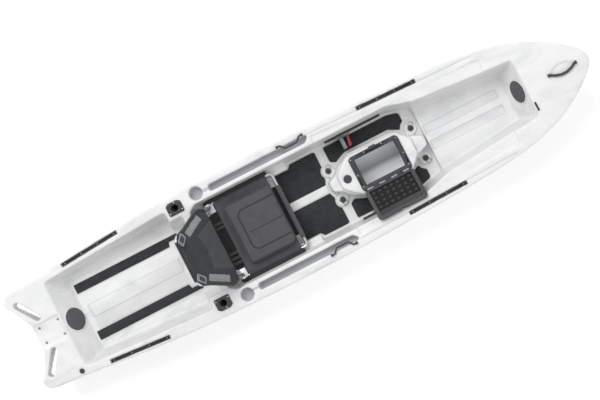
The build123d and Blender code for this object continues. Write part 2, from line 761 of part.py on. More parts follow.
def handle_eyes():
    """Two pivot blocks for a side handle, on the deck outboard of the channel."""
    z = handle_z()
    eyes = []
    for x, toward in ((HANDLE_ENDS[0] - 7, 1), (HANDLE_ENDS[1] + 7, -1)):
        eye = block((x - 6, x + 6), (HANDLE_Y - EYE_R, HANDLE_Y + EYE_R), (GUNWALE_Z + 0.1, z))
        eye += Pos(x, HANDLE_Y, z) * Rot(0, 90, 0) * Cylinder(EYE_R, 12)
        eye -= Pos(x + toward * 2, HANDLE_Y, z) * Rot(0, 90, 0) * Cylinder(HANDLE_R - 1 + RUN_FIT, 12)
        eyes.append(eye)
    return group(*eyes)


def side_handle():
    """Folding bail handle, lying inboard over the channel."""
    z = handle_z()
    a, b = HANDLE_ENDS
    y = HANDLE_Y
    reach = y - HANDLE_REACH
    points = [(a - 0.5, y, z), (a + 13, y, z), (a + 38, reach, z), (b - 38, reach, z), (b - 13, y, z),
              (b + 0.5, y, z)]
    bar = tube_along(points, 9, HANDLE_R)
    for x in (a - 5.2, b + 5.2):
        bar += Pos(x, y, z) * Rot(0, 90, 0) * Cylinder(HANDLE_R - 1, 10)
    return bar


def bow_handle_eyes():
    """Two pivot lugs for the bow handle."""
    half = (BOW_HANDLE_X[1] - BOW_HANDLE_X[0]) / 2
    lugs = []
    for side in (-1, 1):
        x = side * (half + 8)
        lug = block((x - 7, x + 7), (-10, 10), (-1.5, 10))
        lug += Pos(x, 0, 10) * Rot(0, 90, 0) * Cylinder(10, 14)
        lug -= Pos(x - side * 2, 0, 10) * Rot(0, 90, 0) * Cylinder(5 + RUN_FIT, 14)
        lugs.append(bow_handle_place() * lug - OUTER_SHAPE)
    return group(*lugs)


def bow_handle():
    """Ribbed strap grip, flopped over to starboard."""
    half = (BOW_HANDLE_X[1] - BOW_HANDLE_X[0]) / 2
    bow = -BOW_HANDLE_BOW
    points = [(-half + 0.5, 0, 10), (-half + 24, bow * 0.55, 10), (-half + 62, bow, 10),
              (half - 62, bow, 10), (half - 24, bow * 0.55, 10), (half - 0.5, 0, 10)]
    bar = tube_along(points, [20, 24, 24, 20], BOW_HANDLE_R)
    bar = bar & block((-half + 0.6, half - 0.6), (-90, 90), (-40, 60))
    for side in (-1, 1):
        bar += Pos(side * (half + 1), 0, 10) * Rot(0, 90, 0) * Cylinder(5, 17)
    return bow_handle_place() * bar


# ================================================================ centre pod
def pod_plan(out=0.0):
    """Port half of the pod's waist-and-shoulder plan."""
    aft, fwd = POD_X
    return both_sides([(aft - out, 38 + out), (aft + 60, 62 + out), (286, 106 + out), (365, 148 + out),
                       (675, 148 + out), (722, 108 + out), (768, 68 + out), (fwd + out, 40 + out)])


def pod_dome(out=0.0):
    """Smaller plan at the top of the pod."""
    return both_sides([(252 - out, 44 + out), (300, 90 + out), (352, 128 + out), (690, 128 + out),
                       (722, 92 + out), (764, 48 + out)])


def pod_body(inset=0.0):
    """Outer form of the pod, or the same form drawn in by its wall."""
    low = tapered(pod_plan(-inset), FLOOR_Z + inset, pod_plan(-inset - POD_DRAFT), POD_SHOULDER - 34, 16)
    base = POD_SHOULDER - 40
    top = extrude(Pos(0, 0, base) * outline(pod_dome(-inset), 14), POD_TOP - inset - base)
    return low + top


def pod_cavity(grow=0.0):
    """Storage tub: an upright mouth over a half-round trough."""
    x = (OPENING_X[0] - grow, OPENING_X[1] + grow)
    half = OPENING_HALF + grow
    axis = POD_SOLE + OPENING_HALF + POD_WALL + LINER_T
    mouth = block(x, (-half, half), (axis, 400))
    length = x[1] - x[0]
    trough = Pos((x[0] + x[1]) / 2, 0, axis) * Rot(0, 90, 0) * Cylinder(half, length)
    return mouth + trough


def pod_plug(out=0.0):
    """The part of the pod that drops into the drive well."""
    gap = POD_GAP - out
    plan = both_sides([(WELL_X[0] + gap, WELL_HALF - gap), (WELL_X[1] - gap, WELL_HALF - gap)])
    return prism(plan, POD_SOLE - out, FLOOR_Z + 8, WELL_CORNER - gap)


def cap_level():
    """Seat of the round cap on the pod's aft shoulder."""
    return POD_TOP - 4


def pod_shell():
    """Moulded centre console, hollow, with four lugs and the tub cut in."""
    shell = pod_body() + pod_plug()
    shell -= (pod_body(POD_WALL) + pod_plug(-POD_WALL)) - pod_cavity(POD_WALL + LINER_T)
    boss = FLOOR_Z + 90
    shell += Pos(CAP_AT, 0, (cap_level() + boss) / 2) * Cylinder(CAP_R + 5, cap_level() - boss)
    shell -= pod_cavity(LINER_T)
    for x, y in PIN_AT:
        ear = Pos(x, y, FLOOR_Z + EAR_T / 2) * Cylinder(EAR_R, EAR_T)
        web = block((x - EAR_R, x + EAR_R), (y - 40, y + 40), (FLOOR_Z, FLOOR_Z + EAR_T))
        inside = block((POD_X[0] + 22, POD_X[1] - 22), (-90, 90), (0, 400))
        shell += ear + (web & inside)
        shell -= Pos(x, y, FLOOR_Z + 5) * Cylinder(PIN_R + RUN_FIT, 60)
    shell -= Pos(CAP_AT, 0, cap_level() + 10) * Cylinder(CAP_R + 1, 20)
    return shell - Pos(CAP_AT, 0, cap_level()) * Cylinder(10 + RUN_FIT, 44)


def pod_liner():
    """Smooth liner of the tub."""
    rim = block((0, 900), (-300, 300), (POD_TOP - 1, 500))
    return pod_cavity(LINER_T - 0.1) - pod_cavity() - rim


def frame_screws_at():
    """Screws round the hatch frame."""
    x1, x2 = FRAME_X
    port = FRAME_Y[1] - 10
    return [(x1 + 14, port - 8), ((x1 + x2) / 2 - 60, port), ((x1 + x2) / 2 + 60, port), (x2 - 14, port - 8),
            (x1 + 12, -10), (x2 - 12, -10), (x1 + 14, -86), (x2 - 14, -86)]


def knuckle_spans(lid):
    """Alternate stretches of the hinge line: odd ones on the frame, even ones on the lid."""
    start = OPENING_X[0] - 6
    step = (OPENING_X[1] - OPENING_X[0] + 12) / KNUCKLES
    first = 1 if lid else 0
    return [(start + i * step + 0.4, start + (i + 1) * step - 0.4) for i in range(first, KNUCKLES, 2)]


def hinge_z():
    """Level of the hatch hinge pin."""
    return POD_TOP + FRAME_T + HINGE_RISE


def hatch_frame():
    """Dark frame screwed to the pod, with its hinge knuckles."""
    (x1, x2), (y1, y2) = FRAME_X, FRAME_Y
    plan = [(x1, y1), (x2, y1), (x2, y2), (x1, y2)]
    frame = prism(plan, POD_TOP, POD_TOP + FRAME_T, 26)
    hole = [(OPENING_X[0], -OPENING_HALF), (OPENING_X[1], -OPENING_HALF), (OPENING_X[1], OPENING_HALF),
            (OPENING_X[0], OPENING_HALF)]
    frame -= prism(hole, POD_TOP - 5, POD_TOP + 50, 8)
    for a, b in knuckle_spans(False):
        frame += block((a, b), (HINGE_Y - 5, HINGE_Y + 5), (POD_TOP + FRAME_T - 2, hinge_z()))
        frame += Pos((a + b) / 2, HINGE_Y, hinge_z()) * Rot(0, 90, 0) * Cylinder(KNUCKLE_R, b - a)
    x = (FRAME_X[0] + FRAME_X[1]) / 2
    frame += block((x - 22, x + 22), (FRAME_Y[1] - 4, FRAME_Y[1] + 8), (POD_TOP + 1, POD_TOP + FRAME_T))
    frame -= Pos(x, HINGE_Y, hinge_z()) * Rot(0, 90, 0) * Cylinder(HINGE_PIN_R + 0.01, 400)
    for sx, sy in frame_screws_at():
        frame -= Pos(sx, sy, POD_TOP) * Cylinder(2.2, 40)
        frame -= Pos(sx, sy, POD_TOP + FRAME_T) * Cylinder(3.8, 3.0)
    return frame


def frame_screws():
    """Pan heads on the hatch frame."""
    return group(*[Pos(x, y, POD_TOP + FRAME_T - 0.7) * Cylinder(3.6, 1.6) for x, y in frame_screws_at()])


def hinge_pin():
    """Long pin through the hatch knuckles."""
    length = OPENING_X[1] - OPENING_X[0] + 14
    x = (OPENING_X[0] + OPENING_X[1]) / 2
    return Pos(x, HINGE_Y, hinge_z()) * Rot(0, 90, 0) * Cylinder(HINGE_PIN_R, length)


def gasket():
    """Seal lip round the tub's mouth."""
    def loop(inset):
        return [(OPENING_X[0] + inset, -OPENING_HALF + inset), (OPENING_X[1] - inset, -OPENING_HALF + inset),
                (OPENING_X[1] - inset, OPENING_HALF - inset), (OPENING_X[0] + inset, OPENING_HALF - inset)]
    low = POD_TOP - 1
    return prism(loop(0.1), low, POD_TOP + FRAME_T + 0.2, 8) - prism(loop(4), low - 5, low + 50, 6)


def opened(shape):
    """Swing a closed lid piece over to its open rest."""
    turn = 180 - LID_TILT
    return Pos(0, HINGE_Y, hinge_z()) * Rot(turn, 0, 0) * Pos(0, -HINGE_Y, -hinge_z()) * shape


def lid_y():
    """Hinge edge and free edge of the closed lid."""
    return HINGE_Y + LID_EDGE, HINGE_Y + LID_EDGE + LID_LENGTH


def lid_floor():
    """Underside level of the closed lid."""
    return POD_TOP + FRAME_T + 0.6


def pod_lid():
    """Hatch lid: a shallow tray with a heavy rim and its own knuckles."""
    y1, y2 = lid_y()
    z = lid_floor()
    plan = [(LID_X[0], y1), (LID_X[1], y1), (LID_X[1], y2), (LID_X[0], y2)]
    lid = prism(plan, z, z + LID_T, 24)
    lid -= block((LID_X[0] + 24, LID_X[1] - 24), (y1 + 14, y2 - 22), (z - 1, z + LID_T - LID_SKIN))
    for a, b in knuckle_spans(True):
        lid += block((a, b), (HINGE_Y, y1 + 2), (hinge_z() - 3, hinge_z() + KNUCKLE_R))
        lid += Pos((a + b) / 2, HINGE_Y, hinge_z()) * Rot(0, 90, 0) * Cylinder(KNUCKLE_R, b - a)
    x = (LID_X[0] + LID_X[1]) / 2
    lid -= Pos(x, HINGE_Y, hinge_z()) * Rot(0, 90, 0) * Cylinder(HINGE_PIN_R + RUN_FIT, 400)
    lid -= block((x - 18, x + 18), (y2 - 8, y2 + 5), (z - 1, z + LID_T + 1))
    return opened(lid)


def lid_foam():
    """Egg-crate pad inside the lid."""
    y1, y2 = lid_y()
    z = lid_floor() + 1.5
    return opened(block((LID_X[0] + 25, LID_X[1] - 25), (y1 + 15, y2 - 62), (z, z + LID_T - LID_SKIN - 1.5)))


def latch_z():
    """Latch pivot level on the closed lid."""
    return lid_floor() + LID_T / 2


def lid_latch():
    """Pull tab let into the lid's free edge."""
    x = (LID_X[0] + LID_X[1]) / 2
    y = lid_y()[1] - 4
    tab = block((x - 17, x + 17), (y - 2, y + 2), (lid_floor() + 0.4, latch_z() + 3))
    tab += Pos(x, y, latch_z()) * Rot(0, 90, 0) * Cylinder(3.2, 34)
    tab -= Pos(x, y, latch_z()) * Rot(0, 90, 0) * Cylinder(1.5 + RUN_FIT, 60)
    return opened(tab)


def latch_pin():
    """Pivot pin of the pull tab, fixed in the lid."""
    x = (LID_X[0] + LID_X[1]) / 2
    return opened(Pos(x, lid_y()[1] - 4, latch_z()) * Rot(0, 90, 0) * Cylinder(1.5, 36))


def pull_pin(x, y):
    """Sprung plunger with a mushroom head and a wire ring."""
    top = FLOOR_Z + EAR_T + 0.3
    stem = Pos(x, y, (top + FLOOR_Z - PIN_SOCKET + 2) / 2) * Cylinder(PIN_R, top - FLOOR_Z + PIN_SOCKET - 2)
    head = Pos(x, y, top + 5) * Cylinder(PIN_HEAD_R, 10) + Pos(x, y, top + 13) * Cylinder(7, 8)
    side = 1 if y > 0 else -1
    ring = Pos(x + 9, y + side * 21, top + 13.5) * Torus(15, 1.4)
    loop = rod_between((x, y, top + 13.5), (x + 4, y + side * 9, top + 13.5), 2.0)
    return stem + head + ring + loop


def pod_cap():
    """Round transducer-port cap."""
    cap = Pos(CAP_AT, 0, cap_level() + 3.2) * Cylinder(CAP_R, 6)
    cap += Pos(CAP_AT, 0, cap_level() - 9) * Cylinder(10, 20)
    return cap - Pos(CAP_AT, 0, cap_level() + 6) * Box(CAP_R, 4, 3)


# ================================================================ seat
def seat_frame():
    """Base loop: two side rails, joined front and rear."""
    x1, x2 = SEAT_AFT, SEAT_FWD
    route = [(-330, RAIL_Y, RAIL_Z), (x2, RAIL_Y, RAIL_Z), (x2, -RAIL_Y, RAIL_Z), (x1, -RAIL_Y, RAIL_Z),
             (x1, RAIL_Y, RAIL_Z), (-331, RAIL_Y, RAIL_Z)]
    loop = tube_along(route, FRAME_BEND, RAIL_R)
    return loop + rod_between((-334, RAIL_Y, RAIL_Z), (-327, RAIL_Y, RAIL_Z), RAIL_R)


def seat_feet():
    """Four clamp blocks that stand on the hull's ledges."""
    blocks = []
    for x in (SEAT_AFT + FRAME_BEND + 2, SEAT_FWD - FRAME_BEND - 2 - FOOT_L):
        foot = block((x, x + FOOT_L), (RAIL_Y - 13, RAIL_Y + FOOT_OUT), (LEDGE_TOP + 0.1, RAIL_Z))
        foot += block((x, x + FOOT_L), (RAIL_Y + RAIL_R + 1, RAIL_Y + FOOT_OUT), (RAIL_Z - 2, RAIL_Z + 16))
        foot -= Pos(x + 20, RAIL_Y, RAIL_Z) * Rot(0, 90, 0) * Cylinder(RAIL_R + 0.05, 90)
        blocks.append(foot)
        blocks.append(mirrored(foot))
    return group(*blocks)


def seat_sling():
    """Taut mesh pan laced over the rails."""
    top = RAIL_Z + RAIL_R + 0.1
    return block((-500, CUSHION_X[1]), (-RAIL_Y + 3, RAIL_Y - 3), (top, top + SLING_T))


def cushion_base():
    """Level that the cushion lies on."""
    return RAIL_Z + RAIL_R + 0.1 + SLING_T + 0.2


def seat_cushion():
    """Seat cushion, rounded all over."""
    z = cushion_base()
    pad = block(CUSHION_X, (-CUSHION_HALF, CUSHION_HALF), (z, z + CUSHION_T))
    pad = fillet(pad.edges().filter_by(Axis.Z), 45)
    return fillet(pad.faces().sort_by(Axis.Z)[-1].edges(), 16)


def seat_front_bar():
    """Soft sleeve on the front tube."""
    sleeve = Pos(SEAT_FWD, -15, RAIL_Z) * Rot(90, 0, 0) * Cylinder(RAIL_R + 5, 360)
    return sleeve - Pos(SEAT_FWD, 0, RAIL_Z) * Rot(90, 0, 0) * Cylinder(RAIL_R + 0.05, 600)


def pivot_plates():
    """Upright brackets that carry the backrest, each with a flat foot over the rear tube."""
    low = RAIL_Z + RAIL_R + 0.05
    plate = block((PIVOT_X - 26, PIVOT_X + 26), (RAIL_Y - 4, RAIL_Y + 2), (low, PIVOT_Z + 20))
    plate = fillet(plate.edges().filter_by(Axis.Y).group_by(Axis.Z)[-1], 18)
    aft, fwd = PIVOT_X + BRACKET_X[0], PIVOT_X + BRACKET_X[1]
    plate += block((aft, fwd), (BRACKET_INNER, RAIL_Y), (low, low + BRACKET_T))
    plate -= Pos(PIVOT_X, RAIL_Y, PIVOT_Z) * Rot(90, 0, 0) * Cylinder(PIVOT_PIN_R + 0.01, 60)
    return pair(plate)


def pivot_pins():
    """Two pins fixed in the brackets, with heads outboard."""
    inner = BACK_HALF[0] - BACK_TUBE_R - 2
    outer = RAIL_Y + 4.5
    pin = Pos(PIVOT_X, (inner + outer) / 2, PIVOT_Z) * Rot(90, 0, 0) * Cylinder(PIVOT_PIN_R, outer - inner)
    pin += Pos(PIVOT_X, RAIL_Y + 4.2, PIVOT_Z) * Rot(90, 0, 0) * Cylinder(8, 4)
    return pair(pin)


def back_place():
    """Backrest plane: local X to port, local Y up the back, local Z to the sitter."""
    lean = math.radians(RECLINE)
    return Plane(origin=(PIVOT_X, 0, PIVOT_Z), x_dir=(0, 1, 0), z_dir=(math.cos(lean), 0, math.sin(lean)))


def back_route(inset=0.0, low=0.0):
    """Half of the backrest outline, from the pivot up to the top corner."""
    foot, hip, top = BACK_HALF
    return [(foot - inset, low), (foot - inset, 46), (hip - inset, 120), (top + 22 - inset, 330),
            (top - inset, BACK_LENGTH - inset)]


def back_frame():
    """Bent tube of the backrest, drilled at its feet."""
    port = back_route()
    route = port + [(-x, y) for x, y in reversed(port)]
    points = [tuple(back_place().from_local_coords(Vector(x, y, 0))) for x, y in route]
    bar = tube_along(points, [40, 60, 120, 44, 44, 120, 60, 40], BACK_TUBE_R)
    foot = Pos(PIVOT_X, 0, PIVOT_Z) * Rot(90, 0, 0) * Cylinder(PIVOT_PIN_R + RUN_FIT, 2 * RAIL_Y)
    end = Pos(PIVOT_X, BACK_HALF[0], PIVOT_Z) * Sphere(BACK_TUBE_R)
    return bar + end + mirrored(end) - foot


def back_panel():
    """Padded back, held inside the tube."""
    gap = BACK_TUBE_R + 5
    port = back_route(gap, 16)
    route = port + [(-x, y) for x, y in reversed(port)]
    face = outline(route, 12)
    panel = extrude(face, BACK_PAD_T)
    return back_place().location * Pos(0, 0, -BACK_PAD_T / 2 + 2) * panel


def recline_straps():
    """Webbing from the front clamps back to the bracket buckles."""
    y = RAIL_Y + RAIL_R + 5
    margin = FRAME_BEND + 2 + FOOT_L
    strap = block((SEAT_AFT + margin, SEAT_FWD - margin), (y, y + 2), (RAIL_Z - 8, RAIL_Z + 16))
    return pair(strap)


def trigger_pivot():
    """Where the red release lever pivots on the carriage."""
    return PEDAL_X + 44, brace_rail_y()[0] - 4.6


def foot_pedal():
    """Sliding carriage with an upright foot plate and the pin of its release lever."""
    inner = brace_rail_y()[0]
    long = (PEDAL_X - 30, PEDAL_X + 62)
    carriage = block(long, (inner - 9.1, inner - 0.1), (BRACE_Z[0] - 9, BRACE_Z[1] + 9))
    lip = block(long, (inner - 9.1, inner + 4), (BRACE_Z[1] + 0.2, BRACE_Z[1] + 9))
    plate = block((PEDAL_X - PEDAL_T / 2, PEDAL_X + PEDAL_T / 2), (PEDAL_Y[0], inner - 5), PEDAL_Z)
    plate = fillet(plate.edges().filter_by(Axis.X), 14)
    x, y = trigger_pivot()
    pocket = block((x - 12, x + 12), (inner - 20, inner), (TRIGGER_Z[0] - 0.4, TRIGGER_Z[1] + 0.4))
    pin = Pos(x, y, sum(TRIGGER_Z) / 2) * Cylinder(TRIGGER_PIN_R, TRIGGER_Z[1] - TRIGGER_Z[0] + 4)
    return carriage + lip + plate - pocket + pin


def brace_trigger():
    """Red release lever beside the pedal."""
    x, y = trigger_pivot()
    plan = [(x - 5, y + 4), (x + 5, y + 4), (x + 7, y - 10), (x + 2, y - 74), (x - 16, y - 78),
            (x - 18, y - 70), (x - 7, y - 10)]
    lever = prism(plan, TRIGGER_Z[0], TRIGGER_Z[1], 2)
    return lever - Pos(x, y, sum(TRIGGER_Z) / 2) * Cylinder(TRIGGER_PIN_R + RUN_FIT, 60)


def port_and_starboard(name, shape):
    """Add a port piece and its starboard twin."""
    add(name + "_port", shape)
    add(name + "_starboard", mirrored(shape))


# ================================================================ the whole boat
add("hull", hull())
port_and_starboard("gear_track_front", gear_track(TRACK_FRONT))
port_and_starboard("gear_track_rear", gear_track(TRACK_REAR))
add("gear_track_screws", group(pair(track_screws(TRACK_FRONT)), pair(track_screws(TRACK_REAR))))
port_and_starboard("rod_holder", rod_holder())
add("rod_holder_screws", pair(rod_screws()))
port_and_starboard("aft_floor_pad", aft_floor_pad())
port_and_starboard("footwell_pad", footwell_pad())
port_and_starboard("tank_well_strip", rear_strip())
port_and_starboard("brace_rail", brace_rail())
for end in ("bow", "stern"):
    add(end + "_hatch_ring", hatch_ring(end))
    add(end + "_hatch_lid", hatch_lid(end))
add("stern_inserts", stern_inserts())
add("pad_eye", pad_eye())
add("drain_bush", drain_bush())
add("drain_plug", drain_plug())
add("side_handle_eyes", pair(handle_eyes()))
port_and_starboard("side_handle", side_handle())
add("bow_handle_lugs", bow_handle_eyes())
add("bow_handle", bow_handle())

add("pod_shell", pod_shell())
add("pod_liner", pod_liner())
add("hatch_frame", hatch_frame())
add("hatch_frame_screws", frame_screws())
add("hatch_hinge_pin", hinge_pin())
add("hatch_gasket", gasket())
add("hatch_lid", pod_lid())
add("lid_foam", lid_foam())
add("lid_latch", lid_latch())
add("lid_latch_pin", latch_pin())
for (x, y), place in zip(PIN_AT, ("aft_port", "aft_starboard", "front_port", "front_starboard")):
    add("pull_pin_" + place, pull_pin(x, y))
add("pod_cap", pod_cap())

add("seat_frame", seat_frame())
add("seat_feet", seat_feet())
add("seat_sling", seat_sling())
add("seat_cushion", seat_cushion())
add("seat_front_sleeve", seat_front_bar())
add("backrest_brackets", pivot_plates())
add("backrest_pins", pivot_pins())
add("recline_straps", recline_straps())
add("backrest_frame", back_frame())
add("backrest_panel", back_panel())

port_and_starboard("foot_pedal", foot_pedal())
port_and_starboard("brace_trigger", brace_trigger())

for name, shape in NODES.items():
    export_step(shape, "parts/" + name + ".step")
print(len(NODES), "nodes")
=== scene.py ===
# Sit-on-top pedal fishing boat: surfaces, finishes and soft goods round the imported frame. Metres, bow to +X.
import bpy
import bmesh
import json
import math
import numpy as np
from mathutils import Matrix, Vector


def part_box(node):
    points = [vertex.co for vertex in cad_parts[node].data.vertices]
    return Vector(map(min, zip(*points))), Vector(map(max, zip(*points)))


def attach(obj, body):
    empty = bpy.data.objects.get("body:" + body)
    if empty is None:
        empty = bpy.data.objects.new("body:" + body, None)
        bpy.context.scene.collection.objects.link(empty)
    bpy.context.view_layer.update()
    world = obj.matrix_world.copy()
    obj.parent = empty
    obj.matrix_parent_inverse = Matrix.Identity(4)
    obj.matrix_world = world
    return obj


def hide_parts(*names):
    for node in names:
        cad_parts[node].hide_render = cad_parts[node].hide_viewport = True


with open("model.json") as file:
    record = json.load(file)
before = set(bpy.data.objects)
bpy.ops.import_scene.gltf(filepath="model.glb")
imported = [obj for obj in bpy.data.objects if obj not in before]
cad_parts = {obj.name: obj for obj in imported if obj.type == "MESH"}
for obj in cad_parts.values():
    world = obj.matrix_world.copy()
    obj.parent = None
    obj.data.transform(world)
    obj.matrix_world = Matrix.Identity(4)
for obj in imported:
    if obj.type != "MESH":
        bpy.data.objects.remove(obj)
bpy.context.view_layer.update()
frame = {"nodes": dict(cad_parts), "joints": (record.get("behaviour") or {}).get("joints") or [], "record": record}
cad = frame["nodes"]
joints = {j["name"]: j for j in frame["joints"]}

camera = {
    "turn": -27.2,        # the bow points right and up
    "centre": (-0.016, 0.020),
    "distance": 8.0,      # above the deck edge
    "deckLevel": 0.335,
    "lens": 79.0,
}

studio = {
    "world": 0.70, "floorGlow": 0.20,
    "keySize": 9.0, "keyPower": 1060.0, "keyPlace": (-2.6, 8.0, 11.5),
    "fillSize": 6.0, "fillPower": 150.0, "fillPlace": (5.0, -7.0, 9.0),
    "floorColour": (0.96, 0.96, 0.96), "floorHalf": 30.0,
}


# node and mesh helpers
def newMaterial(name, colour, roughness, metallic=0.0, coat=0.0, sheen=0.0):
    mat = bpy.data.materials.new(name)
    mat.use_nodes = True
    shader = mat.node_tree.nodes["Principled BSDF"]
    shader.inputs["Base Color"].default_value = (*colour, 1)
    shader.inputs["Roughness"].default_value = roughness
    shader.inputs["Metallic"].default_value = metallic
    shader.inputs["Coat Weight"].default_value = coat
    shader.inputs["Sheen Weight"].default_value = sheen
    return mat


def addNode(mat, kind, **values):
    node = mat.node_tree.nodes.new(kind)
    for key, value in values.items():
        if key in node.inputs:
            node.inputs[key].default_value = value
        else:
            setattr(node, key, value)
    return node


def join(mat, output, target):
    mat.node_tree.links.new(output, target)


def objectSpace(mat):
    return addNode(mat, "ShaderNodeTexCoord").outputs["Object"]


def noiseOf(mat, scale, detail=3.0, distortion=0.0, where=None):
    node = addNode(mat, "ShaderNodeTexNoise", Scale=scale, Detail=detail, Distortion=distortion)
    join(mat, where or objectSpace(mat), node.inputs["Vector"])
    return node.outputs["Fac"]


def rampOf(mat, source, stops):
    node = addNode(mat, "ShaderNodeValToRGB")
    ramp = node.color_ramp
    while len(ramp.elements) < len(stops):
        ramp.elements.new(0.5)
    for element, (place, colour) in zip(ramp.elements, stops):
        element.position = place
        element.color = (*colour, 1)
    join(mat, source, node.inputs["Fac"])
    return node.outputs["Color"]


def mathOf(mat, operation, a, b=None):
    node = addNode(mat, "ShaderNodeMath", operation=operation)
    for value, socket in ((a, node.inputs[0]), (b, node.inputs[1])):
        if value is None:
            continue
        if isinstance(value, (int, float)):
            socket.default_value = value
        else:
            join(mat, value, socket)
    return node.outputs[0]


def setRoughness(mat, source, low, high):
    node = addNode(mat, "ShaderNodeMapRange")
    node.inputs["To Min"].default_value = low
    node.inputs["To Max"].default_value = high
    join(mat, source, node.inputs["Value"])
    join(mat, node.outputs["Result"], mat.node_tree.nodes["Principled BSDF"].inputs["Roughness"])


def setColour(mat, output):
    join(mat, output, mat.node_tree.nodes["Principled BSDF"].inputs["Base Color"])


def setBump(mat, source, distance, strength=1.0):
    node = addNode(mat, "ShaderNodeBump", Strength=strength, Distance=distance)
    join(mat, source, node.inputs["Height"])
    join(mat, node.outputs["Normal"], mat.node_tree.nodes["Principled BSDF"].inputs["Normal"])


def waveOf(mat, pitch, turn=0.0, where=None):
    mapping = addNode(mat, "ShaderNodeMapping")
    mapping.inputs["Rotation"].default_value = (0, 0, math.radians(turn))
    join(mat, where or objectSpace(mat), mapping.inputs["Vector"])
    node = addNode(mat, "ShaderNodeTexWave", wave_profile="SIN", bands_direction="X", Distortion=0.0)
    node.inputs["Scale"].default_value = 2 * math.pi / (20 * pitch)  # 20 / 2 pi bands a metre at scale 1
    join(mat, mapping.outputs["Vector"], node.inputs["Vector"])
    return node.outputs["Fac"]


def mottle(mat, scale, detail, low, high):
    # a colour that wanders between two, each given with its place on the noise
    setColour(mat, rampOf(mat, noiseOf(mat, scale, detail), [low, high]))


def shaded(mat, plain, second):
    # the plain colour, going to a darker second one where the mesh's shade attribute says so: this lays painted
    # shade (in the hull's pressed lines, grime as well)
    node = addNode(mat, "ShaderNodeMix", data_type="RGBA", blend_type="MIX")
    join(mat, addNode(mat, "ShaderNodeAttribute", attribute_name="shade").outputs["Fac"], node.inputs["Factor"])
    join(mat, plain, node.inputs["A"])
    node.inputs["B"].default_value = (*second, 1)
    setColour(mat, node.outputs["Result"])


def makeObject(name, mesh):
    obj = bpy.data.objects.new(name, mesh)
    bpy.context.scene.collection.objects.link(obj)
    return obj


def fromBmesh(name, bm):
    mesh = bpy.data.meshes.new(name)
    bm.normal_update()
    bm.to_mesh(mesh)
    bm.free()
    return makeObject(name, mesh)


def settle(obj):
    # the modifiers' result becomes the mesh
    bpy.context.view_layer.update()
    graph = bpy.context.evaluated_depsgraph_get()
    mesh = bpy.data.meshes.new_from_object(obj.evaluated_get(graph))
    old = obj.data
    obj.modifiers.clear()
    obj.data = mesh
    if old.users == 0:
        bpy.data.meshes.remove(old)
    return obj


def modifier(obj, kind, **values):
    item = obj.modifiers.new(kind.lower(), kind)
    for key, value in values.items():
        setattr(item, key, value)
    return item


def shadeSmooth(obj, angle=40):
    obj.data.shade_smooth()
    if angle < 180:
        obj.data.set_sharp_from_angle(angle=math.radians(angle))


def paint(obj, mat):
    obj.data.materials.clear()
    obj.data.materials.append(mat)


def readVectors(items, key):
    values = np.empty(len(items) * 3)
    items.foreach_get(key, values)
    return values.reshape(-1, 3)


def points(obj):
    return readVectors(obj.data.vertices, "co")


def vertexNormals(obj):
    return readVectors(obj.data.vertex_normals, "vector")


def setPoints(obj, co):
    obj.data.vertices.foreach_set("co", co.ravel())
    obj.data.update()


def smoothStep(value, low, high):
    t = np.clip((value - low) / (high - low), 0, 1)
    return t * t * (3 - 2 * t)


def setShade(obj, amount):
    # how far each vertex takes its material's second tone, the painted shade
    attribute = obj.data.attributes.get("shade") or obj.data.attributes.new("shade", "FLOAT", "POINT")
    attribute.data.foreach_set("value", np.clip(amount, 0, 1).astype(np.float32))


def trianglesOf(obj):
    return sum(len(p.vertices) - 2 for p in obj.data.polygons)


# materials
def hullPlastic():
    mat = newMaterial("hullPlastic", (0.86, 0.87, 0.87), 0.42)
    stretch = addNode(mat, "ShaderNodeMapping")
    stretch.inputs["Scale"].default_value = (0.45, 1.0, 1.0)
    join(mat, objectSpace(mat), stretch.inputs["Vector"])
    cloud = noiseOf(mat, 6.0, 6.0, 1.8, stretch.outputs["Vector"])
    fleck = noiseOf(mat, 46.0, 4.0, 2.2, stretch.outputs["Vector"])
    grain = mathOf(mat, "ADD", mathOf(mat, "MULTIPLY", cloud, 0.74), mathOf(mat, "MULTIPLY", fleck, 0.26))
    tones = [(0.30, (0.62, 0.635, 0.65)), (0.44, (0.73, 0.735, 0.74)), (0.60, (0.79, 0.79, 0.79))]
    # the dark second tone is the painted shade that hullShade lays into the hollows and pressed lines
    shaded(mat, rampOf(mat, grain, tones), (0.30, 0.31, 0.33))
    setRoughness(mat, noiseOf(mat, 60.0, 2.0), 0.34, 0.50)
    setBump(mat, noiseOf(mat, 900.0, 2.0), 0.0004, 0.5)
    return mat


def padFoam():
    mat = newMaterial("padFoam", (0.030, 0.034, 0.037), 0.78)
    place = objectSpace(mat)
    ridges = mathOf(mat, "MAXIMUM", waveOf(mat, 0.0110, 64, place), waveOf(mat, 0.0110, -64, place))
    setBump(mat, ridges, 0.0022, 1.0)
    tone = mathOf(mat, "MULTIPLY", ridges, mathOf(mat, "ADD", noiseOf(mat, 18.0, 3.0), 0.35))
    setColour(mat, rampOf(mat, tone, [(0.30, (0.004, 0.005, 0.006)), (0.85, (0.036, 0.040, 0.043))]))
    return mat


def discFoam():
    mat = newMaterial("discFoam", (0.085, 0.086, 0.092), 0.75)
    mottle(mat, 70.0, 4.0, (0.3, (0.070, 0.071, 0.077)), (0.7, (0.100, 0.101, 0.107)))
    setBump(mat, noiseOf(mat, 500.0, 2.0), 0.0004, 0.5)
    return mat


def trackBlack():
    mat = newMaterial("trackBlack", (0.022, 0.023, 0.025), 0.45)
    ribs = waveOf(mat, 0.0125, 55)
    setColour(mat, rampOf(mat, ribs, [(0.2, (0.012, 0.013, 0.015)), (0.9, (0.050, 0.052, 0.055))]))
    setRoughness(mat, noiseOf(mat, 220.0, 2.0), 0.38, 0.6)
    setBump(mat, ribs, 0.0006, 0.5)
    return mat


